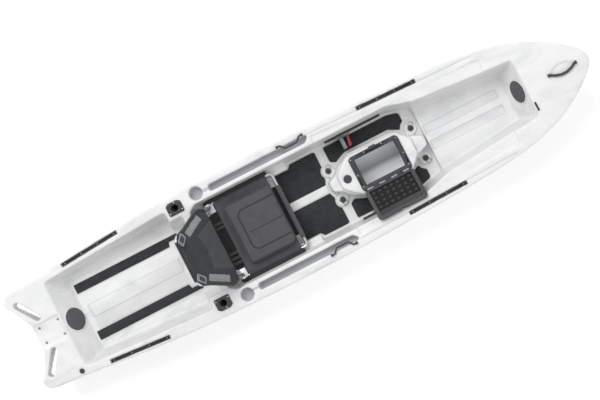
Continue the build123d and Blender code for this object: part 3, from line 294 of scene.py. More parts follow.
def mouldedBlack(name="mouldedBlack", colour=(0.028, 0.029, 0.031), roughness=0.5):
    mat = newMaterial(name, colour, roughness)
    bright = tuple(1.5 * c for c in colour)
    mottle(mat, 30.0, 4.0, (0.35, colour), (0.75, bright))
    setRoughness(mat, noiseOf(mat, 150.0, 2.0), roughness - 0.08, roughness + 0.12)
    setBump(mat, noiseOf(mat, 1400.0, 1.0), 0.0002, 0.5)
    return mat


def brushedMetal(name, colour, roughness, pitch=700.0):
    mat = newMaterial(name, colour, roughness, metallic=1.0)
    streak = addNode(mat, "ShaderNodeMapping")
    streak.inputs["Scale"].default_value = (1, 12, 12)
    join(mat, objectSpace(mat), streak.inputs["Vector"])
    lines = noiseOf(mat, pitch / 12, 3.0, 0.0, streak.outputs["Vector"])
    setRoughness(mat, lines, roughness - 0.08, roughness + 0.12)
    setBump(mat, lines, 0.0001, 0.4)
    return mat


def wovenCloth(name, dark, light, pitch, bump=0.0005, sheen=0.15):
    mat = newMaterial(name, light, 0.85, sheen=sheen)
    place = objectSpace(mat)
    warp = waveOf(mat, pitch, 0, place)
    weft = waveOf(mat, pitch, 90, place)
    weave = mathOf(mat, "MAXIMUM", warp, weft)
    fade = mathOf(mat, "MULTIPLY", weave, mathOf(mat, "ADD", noiseOf(mat, 22.0, 4.0), 0.4))
    shaded(mat, rampOf(mat, fade, [(0.2, dark), (0.9, light)]), tuple(0.25 * c for c in dark))
    setBump(mat, weave, bump, 0.7)
    return mat


def webbingCloth():
    mat = newMaterial("webbing", (0.02, 0.02, 0.022), 0.8, sheen=0.2)
    rows = waveOf(mat, 0.0026, 0)
    setColour(mat, rampOf(mat, rows, [(0.1, (0.010, 0.010, 0.011)), (0.9, (0.045, 0.045, 0.048))]))
    setBump(mat, rows, 0.0004, 0.7)
    return mat


def tubLiner():
    # a smooth silver-grey tub, darker along its middle: the dark band is painted shade where its two sides meet
    mat = newMaterial("linerGrey", (0.5, 0.51, 0.52), 0.35)
    split = addNode(mat, "ShaderNodeSeparateXYZ")
    join(mat, objectSpace(mat), split.inputs["Vector"])
    across = mathOf(mat, "ADD", mathOf(mat, "MULTIPLY", split.outputs["Y"], 5.2), 0.5)
    wander = mathOf(mat, "ADD", across, mathOf(mat, "MULTIPLY", noiseOf(mat, 9.0, 2.0), 0.06))
    stops = [(0.02, (0.86, 0.87, 0.88)), (0.34, (0.80, 0.81, 0.82)), (0.52, (0.34, 0.34, 0.35)),
             (0.64, (0.46, 0.47, 0.48)), (0.98, (0.80, 0.81, 0.82))]
    setColour(mat, rampOf(mat, wander, stops))
    setRoughness(mat, noiseOf(mat, 120.0, 2.0), 0.28, 0.42)
    setBump(mat, noiseOf(mat, 700.0, 1.0), 0.0002, 0.4)
    return mat


def redPlastic():
    mat = newMaterial("triggerRed", (0.36, 0.015, 0.045), 0.38, coat=0.2)
    mottle(mat, 40.0, 3.0, (0.3, (0.28, 0.010, 0.035)), (0.7, (0.42, 0.022, 0.060)))
    setBump(mat, noiseOf(mat, 900.0, 1.0), 0.0002, 0.4)
    return mat


def eggCrateFoam():
    mat = newMaterial("eggCrateFoam", (0.03, 0.03, 0.03), 0.8)
    tones = [(0.3, (0.028, 0.029, 0.031)), (0.7, (0.050, 0.052, 0.055))]
    # the near-black second tone is painted shade for the foam's valleys
    shaded(mat, rampOf(mat, noiseOf(mat, 300.0, 3.0), tones), (0.003, 0.003, 0.004))
    setBump(mat, noiseOf(mat, 900.0, 2.0), 0.0005, 0.6)
    return mat


def floorPaper():
    mat = newMaterial("studioFloor", studio["floorColour"], 0.9)
    mottle(mat, 0.6, 2.0, (0.3, (0.95, 0.95, 0.95)), (0.7, (0.97, 0.97, 0.97)))
    shader = mat.node_tree.nodes["Principled BSDF"]
    shader.inputs["Emission Color"].default_value = (1, 1, 1, 1)
    shader.inputs["Emission Strength"].default_value = studio["floorGlow"]
    return mat


finish = {
    "hull": hullPlastic(),
    "pad": padFoam(),
    "disc": discFoam(),
    "track": trackBlack(),
    "black": mouldedBlack(),
    "frameGrey": mouldedBlack("frameGrey", (0.030, 0.031, 0.034), 0.5),
    "pedal": mouldedBlack("pedalGrey", (0.16, 0.17, 0.175), 0.5),
    "liner": tubLiner(),
    "tube": brushedMetal("tubeSilver", (0.62, 0.63, 0.64), 0.32),
    "steel": brushedMetal("screwSteel", (0.55, 0.55, 0.57), 0.28, 2400.0),
    "insert": brushedMetal("insertMetal", (0.36, 0.36, 0.36), 0.4, 2400.0),
    "mesh": wovenCloth("meshCloth", (0.020, 0.021, 0.024), (0.085, 0.088, 0.096), 0.0045, 0.0008),
    "cloth": wovenCloth("seatCloth", (0.046, 0.047, 0.050), (0.086, 0.087, 0.092), 0.0022, 0.0004),
    "darkCloth": wovenCloth("darkCloth", (0.012, 0.013, 0.015), (0.030, 0.032, 0.035), 0.0024, 0.0004),
    # near-black with no sheen, for the drops at the pan's ends: partly cloth, partly painted shade in the gaps
    "darkest": wovenCloth("darkestCloth", (0.003, 0.003, 0.004), (0.012, 0.012, 0.014), 0.0030, 0.0004, 0.0),
    "lumbar": wovenCloth("lumbarMesh", (0.026, 0.028, 0.030), (0.064, 0.067, 0.070), 0.0045, 0.0008),
    "webbing": webbingCloth(),
    # painted light: the side windows' mesh is made pale, standing in for the white deck seen through it
    "paleMesh": wovenCloth("paleMesh", (0.10, 0.105, 0.11), (0.33, 0.34, 0.35), 0.0050, 0.0006),
    "foam": eggCrateFoam(),
    "buckle": mouldedBlack("buckleSilver", (0.27, 0.28, 0.29), 0.32),
    "wire": brushedMetal("wireSteel", (0.12, 0.12, 0.125), 0.35, 2400.0),
    "red": redPlastic(),
}
print("finishes", len(finish))


# moulded skins: an outer surface with real radii
skins = {
    "hullVoxel": 0.0055, "hullSmooth": 5, "hullTriangles": 185000,
    "podVoxel": 0.0030, "podSmooth": 110, "podSwell": 0.040, "podTriangles": 80000,
    "quickVoxel": 0.012,
}


def weldedCopy(node):
    bm = bmesh.new()
    bm.from_mesh(cad[node].data)
    bmesh.ops.remove_doubles(bm, verts=bm.verts, dist=1e-5)
    return bm


def islands(bm):
    left = set(bm.faces)
    found = []
    while left:
        stack = [left.pop()]
        island = list(stack)
        while stack:
            for edge in stack.pop().edges:
                for face in edge.link_faces:
                    if face in left:
                        left.remove(face)
                        stack.append(face)
                        island.append(face)
        found.append(island)
    return found


def keepOutside(bm):
    # the moulding is hollow, and only the island that holds the lowest vertex is its outside
    bm.faces.ensure_lookup_table()
    outside = min(islands(bm), key=lambda fs: min(v.co.z for f in fs for v in f.verts))
    kept = set(outside)
    bmesh.ops.delete(bm, geom=[f for f in bm.faces if f not in kept], context="FACES")
    bmesh.ops.holes_fill(bm, edges=[e for e in bm.edges if len(e.link_faces) == 1], sides=0)
    bmesh.ops.triangulate(bm, faces=[f for f in bm.faces if len(f.verts) > 4])


def holeCutter(bm, mouth, axis, radius, low, high):
    # a plug to be cut out of a skin, from low to high along the axis
    axis = Vector(axis).normalized()
    made = bmesh.ops.create_cone(bm, cap_ends=True, segments=64, radius1=radius, radius2=radius,
                                 depth=high - low)
    turn = axis.to_track_quat("Z", "Y").to_matrix().to_4x4()
    middle = Vector(mouth) + axis * (low + high) / 2
    bmesh.ops.transform(bm, matrix=Matrix.Translation(middle) @ turn, verts=made["verts"])


def clearBore(bm, centre, axis, radius, reach):
    # takes out the wall of a hole that opens into the hollow
    centre = Vector(centre)
    axis = Vector(axis).normalized()
    wall = []
    for face in bm.faces:
        away = face.calc_center_median() - centre
        along = away.dot(axis)
        across = (away - axis * along).length
        if abs(along) < reach and abs(across - radius) < 0.0012 and abs(face.normal.dot(axis)) < 0.3:
            wall.append(face)
    bmesh.ops.delete(bm, geom=wall, context="FACES")


def remoulded(name, bm, voxel, smooth, mould, target, cutters=None, firm=None):
    obj = fromBmesh(name, bm)
    modifier(obj, "REMESH", mode="VOXEL", voxel_size=voxel)
    settle(obj)
    if cutters:
        tool = fromBmesh(name + "Cutters", cutters)
        modifier(obj, "BOOLEAN", operation="DIFFERENCE", object=tool, solver="MANIFOLD")
        settle(obj)
        bpy.data.objects.remove(tool)
    relax = modifier(obj, "SMOOTH", factor=0.5, iterations=smooth)
    if firm:
        group = obj.vertex_groups.new(name="soft")
        loose = np.nonzero(~firm(points(obj)))[0].tolist()
        group.add(loose, 1.0, "REPLACE")
        relax.vertex_group = "soft"
    settle(obj)
    if mould:
        setPoints(obj, mould(points(obj), vertexNormals(obj)))
    count = trianglesOf(obj)
    if count > target:
        modifier(obj, "DECIMATE", ratio=target / count)
        settle(obj)
    shadeSmooth(obj, 50)
    print(name, "triangles", count, "to", trianglesOf(obj))
    return obj


moulding = {
    "bowFloor": 0.160, "bowRun": (0.87, 1.37), "bowGroove": (0.026, 0.080), "bowDepth": 0.0055,
    "tankFloor": 0.172, "tankRun": (-1.48, -0.855), "tankRib": 0.042, "tankRise": 0.0055, "tankLine": 0.212,
    "creaseFrom": 0.322, "creaseRun": (0.20, 1.30), "lineShade": 0.42,
    "cupGroove": (-0.540, -0.452), "cupGrooveAt": 0.337, "cupGrooveWide": 0.007, "cupGrooveDeep": 0.008,
    "tankLineRun": (-1.50, -0.82), "lineDeep": 0.002, "creaseDeep": 0.003, "deckFrom": 0.29,
    "hollowShade": 0.92,
}


def band(value, low, high, soft=0.004):
    return smoothStep(value, low - soft, low + soft) * (1 - smoothStep(value, high - soft, high + soft))


def creaseAt(x):
    # the pressed line along the fore deck draws in towards the bow
    return moulding["creaseFrom"] - (x - 0.55) * 0.030


def hullMoulding(co, normals):
    x, y, z = co[:, 0], np.abs(co[:, 1]), co[:, 2].copy()
    up = smoothStep(normals[:, 2], 0.85, 0.97)
    m = moulding
    bowFloor = up * band(x, *m["bowRun"]) * (np.abs(z - m["bowFloor"]) < 0.012)
    z -= bowFloor * band(y, *m["bowGroove"]) * m["bowDepth"]
    tankFloor = up * (np.abs(z - m["tankFloor"]) < 0.012)
    z += tankFloor * band(x, *m["tankRun"]) * band(y, -1, m["tankRib"]) * m["tankRise"]
    line = band(y, m["tankLine"] - 0.003, m["tankLine"] + 0.003, 0.002)
    z -= tankFloor * band(x, *m["tankLineRun"]) * line * m["lineDeep"]
    deck = up * (z > m["deckFrom"])
    crease = band(y, creaseAt(x) + 0.022, creaseAt(x) + 0.027, 0.003)
    z -= deck * band(x, *m["creaseRun"], 0.03) * crease * m["creaseDeep"]
    # a groove drains the side channel into the cup
    groove = band(y, m["cupGrooveAt"] - m["cupGrooveWide"], m["cupGrooveAt"] + m["cupGrooveWide"], 0.003)
    z -= deck * band(x, *m["cupGroove"]) * groove * m["cupGrooveDeep"]
    co[:, 2] = z
    return co


def mouldLines(co):
    # shadow and grime that gather in the pressed lines
    x, y, z = co[:, 0], np.abs(co[:, 1]), co[:, 2]
    m = moulding

    def thin(value, place, width=0.0040):
        return np.exp(-((value - place) / width) ** 2)

    def bothEnds(value, run):
        return thin(value, run[0]) + thin(value, run[1])

    bowFloor = np.abs(z - m["bowFloor"]) < 0.014
    bow = bowFloor * band(x, *m["bowRun"]) * bothEnds(y, m["bowGroove"])
    ends = bowFloor * band(y, *m["bowGroove"]) * bothEnds(x, m["bowRun"])
    tankFloor = np.abs(z - m["tankFloor"]) < 0.014
    tank = tankFloor * band(x, *m["tankRun"]) * (thin(y, m["tankRib"]) + 0.7 * thin(y, m["tankLine"]))
    ribEnds = tankFloor * (y < m["tankRib"]) * bothEnds(x, m["tankRun"])
    deck = (z > m["deckFrom"]) * band(x, *m["creaseRun"], 0.03) * thin(y, creaseAt(x) + 0.0245)
    return m["lineShade"] * (bow + ends + tank + ribEnds + deck)


def hullShade(co):
    # painted shade: the side channels, the cup recesses, the handle recess ahead of them and the groove from cup
    # to channel are darkened so they read as grey hollows
    x, y, z = co[:, 0], np.abs(co[:, 1]), co[:, 2]
    openings = {o["name"]: np.array(o["box_m"]) for o in frame["record"]["physics"]["openings"]}
    channel = openings["side_channel_port"]
    cup = openings["cup_recess_port"]
    within = (y > channel[0][1] - 0.012) * (y < channel[1][1] + 0.012)
    side = band(x, channel[0][0] - 0.01, channel[1][0], 0.012) * within
    middle = (cup[0] + cup[1]) / 2
    bowl = 1 - smoothStep(np.hypot(x - middle[0], y - middle[1]), 0.036, 0.044)
    deep = (z > cup[0][2] - 0.009) * (1 - smoothStep(z, channel[0][2] - 0.004, channel[0][2] + 0.016))
    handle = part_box("side_handle_port")[1].x
    ahead = 0.35 * band(x, channel[1][0], handle, 0.03) + 0.6 * band(x, handle - 0.045, handle + 0.03, 0.012)
    ahead *= within
    hollow = moulding["hollowShade"] * np.maximum(np.maximum(side, 0.8 * bowl), ahead) * deep
    middleLine = (channel[0][1] + channel[1][1]) / 2
    groove = 0.6 * (z > moulding["deckFrom"]) * band(x, *moulding["cupGroove"])
    groove = groove * np.exp(-((y - middleLine) / moulding["cupGrooveWide"]) ** 2)
    return np.clip(np.maximum(np.maximum(hollow, groove), mouldLines(co)), 0, 1)


def hullSkin():
    bm = weldedCopy("hull")
    cutters = bmesh.new()
    for side in ("bow", "stern"):
        joint = joints[side + "_hatch_turn"]
        clearBore(bm, joint["pos_m"], joint["axis"], 0.0742, 0.034)
        low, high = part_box(side + "_hatch_ring")
        inward = Vector(joint["axis"]).normalized()
        inward = inward if (inward.x > 0) == (low.x > 0) else -inward
        holeCutter(cutters, (low + high) / 2, inward, 0.0752, -0.012, 0.020)
    for mount in frame["record"]["mounts"]:
        if mount["kind"] == "bore":
            clearBore(bm, mount["pos_m"], mount["axis"], 0.0252, 0.30)
            reach = mount["dims"]["length_mm"] / 2000 + 0.006
            holeCutter(cutters, mount["pos_m"], mount["axis"], 0.0262, -reach, reach + 0.05)
    drain = joints["drain_plug_turn"]["pos_m"]
    clearBore(bm, drain, (0, 0, 1), 0.0120, 0.06)
    holeCutter(cutters, (drain[0], drain[1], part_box("drain_plug")[0].z), (0, 0, 1), 0.0128, -0.008, 0.06)
    keepOutside(bm)
    skin = remoulded("hullSkin", bm, skins["hullVoxel"], skins["hullSmooth"], hullMoulding,
                     skins["hullTriangles"], cutters)
    # painted shade in the hull's hollows and pressed lines
    setShade(skin, hullShade(points(skin)))
    paint(skin, finish["hull"])
    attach(skin, "hull")
    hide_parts("hull")
    return skin


podShoulder = {
    "level": (0.1862, 0.1918),  # under and top of the roof
    "rim": [(0.192, 0.028), (0.242, 0.052), (0.286, 0.096), (0.365, 0.138),
            (0.675, 0.138), (0.722, 0.098), (0.768, 0.058), (0.838, 0.030)],
    "inner": [(0.262, 0.030), (0.276, 0.052), (0.306, 0.082), (0.356, 0.116),
              (0.686, 0.116), (0.712, 0.084), (0.740, 0.054), (0.752, 0.030)],
}


def roofShoulder(bm):
    # closes the pod's shoulder between its outer wall and its crown
    under, top = podShoulder["level"]
    rings = []
    for loop, z in (("rim", top), ("inner", top), ("inner", under), ("rim", under)):
        half = podShoulder[loop]
        whole = half + [(x, -y) for x, y in reversed(half)]
        rings.append([bm.verts.new((x, y, z)) for x, y in whole])
    faces = []
    for one, two in zip(rings, rings[1:] + rings[:1]):
        for k in range(len(one)):
            after = (k + 1) % len(one)
            faces.append(bm.faces.new((one[k], one[after], two[after], two[k])))
    bmesh.ops.recalc_face_normals(bm, faces=faces)


def podSkin():
    bm = weldedCopy("pod_shell")
    keepOutside(bm)
    roofShoulder(bm)
    low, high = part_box("hatch_frame")
    for vert in bm.verts:  # the shoulders swell up towards the crown
        vert.co.z += skins["podSwell"] * (0.180 < vert.co.z < 0.200)

    def seatOfFrame(co):
        x, y = co[:, 0], co[:, 1]
        inside = (x > low.x - 0.002) & (x < high.x + 0.002) & (y > low.y - 0.002) & (y < high.y + 0.002)
        return inside | (co[:, 2] < 0.118)

    skin = remoulded("podSkin", bm, skins["podVoxel"], skins["podSmooth"], None,
                     skins["podTriangles"], None, seatOfFrame)
    paint(skin, finish["hull"])
    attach(skin, "pod")
    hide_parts("pod_shell")
    return skin


hullSkin()
podSkin()
print("moulded skins done")


# CAD pieces that keep their shape, with finish and edge in mm; a star stands for port and starboard
hardware = {
    "bow_hatch_ring": ("hull", 1.2), "stern_hatch_ring": ("hull", 1.2),
    "bow_hatch_lid": ("disc", 1.5), "stern_hatch_lid": ("disc", 1.5),
    "gear_track_front_*": ("track", 0.5), "gear_track_rear_*": ("track", 0.5),
    "gear_track_screws": ("steel", 0.3), "rod_holder_screws": ("steel", 0.4),
    "hatch_frame_screws": ("steel", 0.3), "rod_holder_*": ("black", 1.2),
    "aft_floor_pad_*": ("pad", 1.5), "footwell_pad_*": ("pad", 1.5), "tank_well_strip_*": ("pad", 1.5),
    "brace_rail_*": ("black", 0.8),
    "stern_inserts": ("insert", 0.3), "pad_eye": ("black", 0.8), "drain_bush": ("black", 0.6),
    "drain_plug": ("black", 0.8), "side_handle_eyes": ("black", 0.8), "bow_handle_lugs": ("black", 1.0),
    "side_handle_*": ("black", 0.3), "bow_handle": ("black", 0.3),
    "pod_liner": ("liner", 0.3), "hatch_frame": ("frameGrey", 1.2), "hatch_hinge_pin": ("steel", 0.3),
    "hatch_gasket": ("black", 1.0), "hatch_lid": ("frameGrey", 2.0), "lid_latch": ("black", 0.6),
    "lid_latch_pin": ("steel", 0.2), "pod_cap": ("frameGrey", 1.0),
    "pull_pin_aft_*": ("black", 1.5), "pull_pin_front_*": ("black", 1.5),
    "seat_frame": ("tube", 0.2), "seat_feet": ("black", 1.5), "seat_front_sleeve": ("darkCloth", 2.0),
    "backrest_brackets": ("tube", 0.8), "backrest_pins": ("steel", 0.5), "backrest_frame": ("tube", 0.2),
    "recline_straps": ("webbing", 0.3), "foot_pedal_*": ("pedal", 1.5), "brace_trigger_*": ("red", 1.0),
}
hardware = {name.replace("*", side): look for name, look in hardware.items()
            for side in (("port", "starboard") if "*" in name else ("",))}


def dressHardware():
    for node, (coat, edge) in hardware.items():
        obj = cad[node]
        paint(obj, finish[coat])
        shadeSmooth(obj, 35)
        modifier(obj, "WELD", merge_threshold=1e-5)
        modifier(obj, "BEVEL", width=edge / 1000, segments=2, limit_method="ANGLE",
                 angle_limit=math.radians(38), use_clamp_overlap=True)


def patch(node, coat, test):
    # a second finish on part of a piece
    obj = cad[node]
    obj.data.materials.append(finish[coat])
    slot = len(obj.data.materials) - 1
    for face in obj.data.polygons:
        if test(face.center):
            face.material_index = slot


def patchHardware():
    hinge = joints["hatch_lid_hinge"]["pos_m"]
    patch("hatch_frame", "buckle", lambda c: math.hypot(c.y - hinge[1], c.z - hinge[2]) < 0.0064
          and c.z > hinge[2] - 0.003)
    for joint in joints.values():
        if joint["name"].startswith("pull_pin"):
            low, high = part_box(joint["child"])
            rod = (low.x + 0.018, (high.y - 0.018) if high.y < 0 else (low.y + 0.018))
            ringFrom = high.z - 0.0034
            patch(joint["child"], "wire", lambda c: c.z > ringFrom
                  and math.hypot(c.x - rod[0], c.y - rod[1]) > 0.0076)


def buildRodPlugs():
    # the rod holders are blind tubes
    for mount in frame["record"]["mounts"]:
        if mount["kind"] != "bore":
            continue
        axis = Vector(mount["axis"]).normalized()
        foot = Vector(mount["pos_m"]) - axis * (mount["dims"]["length_mm"] / 2000 + 0.0012)
        turn = axis.to_track_quat("Z", "Y").to_matrix().to_4x4()
        bm = bmesh.new()
        bmesh.ops.create_cone(bm, cap_ends=True, segments=48, radius1=0.0235, radius2=0.0215, depth=0.003)
        bmesh.ops.bevel(bm, geom=list(bm.edges), offset=0.0005, segments=2, affect="EDGES")
        bm.transform(Matrix.Translation(foot) @ turn)
        plug = fromBmesh(mount["name"] + "Plug", bm)
        shadeSmooth(plug, 40)
        paint(plug, finish["black"])
        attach(plug, "hull")


dressHardware()
patchHardware()
buildRodPlugs()
print("hardware", len(hardware))


# seat: cushion, mesh pan, backrest cover, sleeve and straps
seat = {
    "cushionVoxel": 0.0055, "cushionPressure": 4.0, "cushionFrames": 20, "cushionGain": 0.006,
    "panelAft": -0.400, "panelHalf": 0.130, "panelChamfer": 0.028, "seamDepth": 0.0045, "seamWidth": 0.0046,
    "centreSeam": (-0.012, -0.372), "ribPitch": 0.011, "sleeveWrinkle": 0.0007,
    "rearStraps": (0.118, 0.090, -0.086, -0.118, -0.150), "rearStrapWide": 0.020,
    "frontDropWide": 0.330, "rearDropWide": 0.370, "reclineWide": 0.028, "cloth": 0.0012, "webbing": 0.0016,
}


def seamDip(distance, width, depth):
    return -depth * np.exp(-(distance / width) ** 2)


def segmentDistance(x, y, a, b):
    ax, ay = a
    dx, dy = b[0] - ax, b[1] - ay
    t = np.clip(((x - ax) * dx + (y - ay) * dy) / (dx * dx + dy * dy), 0, 1)
    return np.hypot(x - ax - t * dx, y - ay - t * dy)


def puffed(obj):
    # a stuffed body: cloth blown up from inside by a little pressure, its gain capped
    start = points(obj)
    cloth = obj.modifiers.new("cloth", "CLOTH")
    cloth.settings.use_pressure = True
    cloth.settings.uniform_pressure_force = seat["cushionPressure"]
    cloth.settings.tension_stiffness = 40
    cloth.settings.compression_stiffness = 40
    cloth.settings.bending_stiffness = 2
    cloth.settings.effector_weights.gravity = 0
    cloth.point_cache.frame_start = 1
    cloth.point_cache.frame_end = seat["cushionFrames"]
    scene = bpy.context.scene
    for number in range(1, seat["cushionFrames"] + 1):
        scene.frame_set(number)
    settle(obj)
    scene.frame_set(1)
    moved = points(obj) - start
    length = np.linalg.norm(moved, axis=1, keepdims=True)
    cap = np.minimum(1, seat["cushionGain"] / np.maximum(length, 1e-9))
    setPoints(obj, start + moved * cap)


def buildCushion():
    low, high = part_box("seat_cushion")
    obj = fromBmesh("seatCushion", weldedCopy("seat_cushion"))
    modifier(obj, "REMESH", mode="VOXEL", voxel_size=seat["cushionVoxel"])
    settle(obj)
    modifier(obj, "SMOOTH", factor=0.5, iterations=3)
    settle(obj)
    puffed(obj)
    modifier(obj, "SUBSURF", levels=1, render_levels=1)
    settle(obj)
    co = points(obj)
    x, y, z = co[:, 0], co[:, 1], co[:, 2]
    top = smoothStep(z, high.z - 0.020, high.z - 0.004)
    aft, half, cut = seat["panelAft"], seat["panelHalf"], seat["panelChamfer"]
    depth, width = seat["seamDepth"], seat["seamWidth"]
    edge = [(high.x + 0.02, half), (aft + cut, half), (aft, half - cut), (aft, cut - half),
            (aft + cut, -half), (high.x + 0.02, -half)]
    dip = np.zeros(len(co))
    nearest = np.min([segmentDistance(x, y, a, b) for a, b in zip(edge, edge[1:])], axis=0)
    dip += seamDip(nearest, width, depth)
    seamY, seamX = seat["centreSeam"]
    for shift in (0.0, -0.009):
        seam = segmentDistance(x, y, (seamX, seamY + shift), (high.x, seamY + shift))
        dip += seamDip(seam, width * 0.7, depth * 0.7)
    inside = smoothStep(x, aft, aft + 0.02) * (1 - smoothStep(np.abs(y), half - 0.02, half))
    dip += 0.0022 * inside * np.cos((y - seamY) / half * math.pi * 1.5) ** 2
    aftEdge = np.abs(x - low.x - 0.014) + 9 * (np.abs(y) > 0.19)
    border = np.minimum(aftEdge, np.abs(np.abs(y) - high.y + 0.012))
    dip += seamDip(border, 0.003, 0.0018)
    line = np.minimum(nearest, segmentDistance(x, y, (seamX, seamY - 0.004), (high.x, seamY - 0.004)) * 1.6)
    line = np.minimum(line, border * 1.3)
    co[:, 2] = z + dip * top
    co[:, 2] += top * 0.0012 * np.sin(x * 37 + 1.3) * np.sin(y * 29 + 0.4)
    np.clip(co, np.array(low) - 0.003, np.array(high) + 0.004, out=co)
    setPoints(obj, co)
    # painted shade darkens the cloth in the seam creases and along the border
    setShade(obj, 0.9 * top * np.exp(-(line / 0.0042) ** 2))
    shadeSmooth(obj, 180)
    paint(obj, finish["cloth"])
    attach(obj, "seat")
    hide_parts("seat_cushion")
    return obj


def gridSheet(name, width, length, rule, thickness, step):
    # a sheet cut width by length; rule gives the place of each point of it
    across = max(2, round(width / step))
    along = max(2, round(length / step))
    bm = bmesh.new()
    rows = []
    for j in range(along + 1):
        row = [bm.verts.new(rule(width * (i / across - 0.5), length * j / along)) for i in range(across + 1)]
        rows.append(row)
    for one, two in zip(rows, rows[1:]):
        for a, b, c, d in zip(one, one[1:], two[1:], two):
            bm.faces.new((a, b, c, d))
    obj = fromBmesh(name, bm)
    if thickness:
        modifier(obj, "SOLIDIFY", thickness=thickness, offset=0)
        settle(obj)
    shadeSmooth(obj, 180)
    return obj


def around(path, distance):
    # place and direction at a distance along a polyline
    for a, b in zip(path, path[1:]):
        a, b = Vector(a), Vector(b)
        step = (b - a).length
        if distance <= step or b == Vector(path[-1]):
            return a.lerp(b, distance / step), (b - a).normalized()
        distance -= step


def arcPoints(centre, radius, start, end, count):
    turns = [math.radians(start + (end - start) * i / count) for i in range(count + 1)]
    return [(centre[0] + radius * math.cos(t), centre[1] + radius * math.sin(t)) for t in turns]


def lengthOf(path):
    return sum((Vector(b) - Vector(a)).length for a, b in zip(path, path[1:]))


def buildPan():
    # the mesh pan lies over both side rails and is laced under them
    low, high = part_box("seat_sling")
    railLow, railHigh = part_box("seat_frame")
    railR = 0.011
    railY = railHigh.y - railR
    railZ = (railLow.z + railHigh.z) / 2
    radius = railR + 0.0022
    port = arcPoints((railY, railZ), radius, -150, 90, 14)
    starboard = [(-y, z) for y, z in reversed(port)]
    middle = [(railY * (1 - i / 20), port[-1][1] - 0.0015 * math.sin(math.pi * i / 20)) for i in range(1, 20)]
    section = port + middle + [(-y, z) for y, z in reversed(middle)] + starboard
    section = [(y, z) for k, (y, z) in enumerate(section) if k == 0 or (y, z) != section[k - 1]]
    reach = lengthOf([(y, z, 0) for y, z in section])
    long = high.x - low.x

    def rule(across, along):
        place, heading = around([(y, z, 0) for y, z in section], across + reach / 2)
        return (low.x + along, place.x, place.y)

    pan = gridSheet("seatPan", reach, long, rule, 0.0016, 0.008)
    paint(pan, finish["mesh"])
    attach(pan, "seat")
    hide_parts("seat_sling")
    return pan


def bandAlong(name, path, width, side, thickness, coat, body):
    # flat webbing along a path, its width along the side direction
    side = Vector(side)
    length = lengthOf(path)

    def rule(across, along):
        place, heading = around(path, along)
        return place + side * across

    band = gridSheet(name, width, length, rule, thickness, min(width / 6, 0.006))
    paint(band, finish[coat])
    if body:
        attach(band, body)
    return band


def bent(points3, rounds=3):
    # corner cutting turns a polyline into an easy curve
    path = [Vector(p) for p in points3]
    for _ in range(rounds):
        cut = [path[0]]
        for a, b in zip(path, path[1:]):
            cut += [a.lerp(b, 0.25), a.lerp(b, 0.75)]
        path = cut + [path[-1]]
    return path


def buildSleeve():
    low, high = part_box("seat_front_sleeve")
    axisX = (low.x + high.x) / 2
    axisZ = (low.z + high.z) / 2
    radius = (high.x - low.x) / 2
    length = high.y - low.y
    rings = 120
    spokes = 36
    bm = bmesh.new()
    rows = []
    for i in range(rings + 1):
        share = i / rings
        ends = min(share, 1 - share) * length
        tuck = 0.0035 * math.exp(-(ends / 0.006) ** 2)
        row = []
        for k in range(spokes):
            t = 2 * math.pi * k / spokes
            fold = seat["sleeveWrinkle"] * math.sin(share * 57 + 2 * math.sin(t)) * math.sin(3 * t + share * 9)
            seam = -0.0016 * math.exp(-((t - math.pi * 1.12) / 0.09) ** 2)
            r = radius - 0.0010 - tuck + fold + seam
            row.append(bm.verts.new((axisX + r * math.cos(t), low.y + length * share, axisZ + r * math.sin(t))))
        rows.append(row)
    for one, two in zip(rows, rows[1:]):
        for k in range(spokes):
            bm.faces.new((one[k], two[k], two[(k + 1) % spokes], one[(k + 1) % spokes]))
    for row in (rows[0], rows[-1]):
        centre = bm.verts.new((axisX, row[0].co.y, axisZ))
        for k in range(spokes):
            bm.faces.new((row[k], row[(k + 1) % spokes], centre))
    bmesh.ops.recalc_face_normals(bm, faces=bm.faces)
    sleeve = fromBmesh("frontSleeve", bm)
    shadeSmooth(sleeve, 60)
    paint(sleeve, finish["cloth"])
    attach(sleeve, "seat")
    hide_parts("seat_front_sleeve")


def buildRearStraps():
    # webbing laced between the pan's aft edge and the frame's rear tube
    panLow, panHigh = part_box("seat_sling")
    railLow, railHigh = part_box("seat_frame")
    z = (railLow.z + railHigh.z) / 2
    r = 0.0130
    rearX = railLow.x + 0.011
    for k, y in enumerate(seat["rearStraps"]):
        wrap = [(rearX + r * math.cos(math.radians(t)), y, z + r * math.sin(math.radians(t)))
                for t in range(250, 80, -17)]
        tail = [(rearX + 0.022, y, z + 0.0135), (panLow.x + 0.012, y, panLow.z - 0.0022)]
        bandAlong(f"rearStrap{k}", wrap + tail, seat["rearStrapWide"], (0, 1, 0), seat["webbing"],
                  "webbing", "seat")


def buildDrops():
    # near-black cloth falls from the pan's ends to the front and rear tubes; it is partly the seat's cloth and
    # partly painted shade for the deep gaps there
    panLow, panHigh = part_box("seat_sling")
    tubeLow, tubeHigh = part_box("seat_frame")
    z = (tubeLow.z + tubeHigh.z) / 2
    frontX, rearX = tubeHigh.x - 0.011, tubeLow.x + 0.011
    front = [(panHigh.x - 0.004, 0, panLow.z - 0.0012), (panHigh.x + 0.006, 0, z + 0.003),
             (panHigh.x + 0.015, 0, z - 0.011), (frontX - 0.012, 0, z - 0.0180), (frontX, 0, z - 0.0185)]
    rear = [(panLow.x + 0.004, 0, panLow.z - 0.0012), (panLow.x - 0.010, 0, z + 0.004),
            (panLow.x - 0.026, 0, z - 0.006), (rearX + 0.0150, 0, z + 0.006),
            (rearX + 0.009, 0, z + 0.0135), (rearX - 0.009, 0, z + 0.0145),
            (rearX - 0.0150, 0, z + 0.002), (rearX - 0.0130, 0, z - 0.010)]
    for name, path, wide, rest in (("frontDrop", front, seat["frontDropWide"], "seat_front_sleeve"),
                                   ("rearDrop", rear, seat["rearDropWide"], "seat_frame")):
        bandAlong(name, bent(path, 2), wide, (0, 1, 0), seat["cloth"], "darkest", "seat")


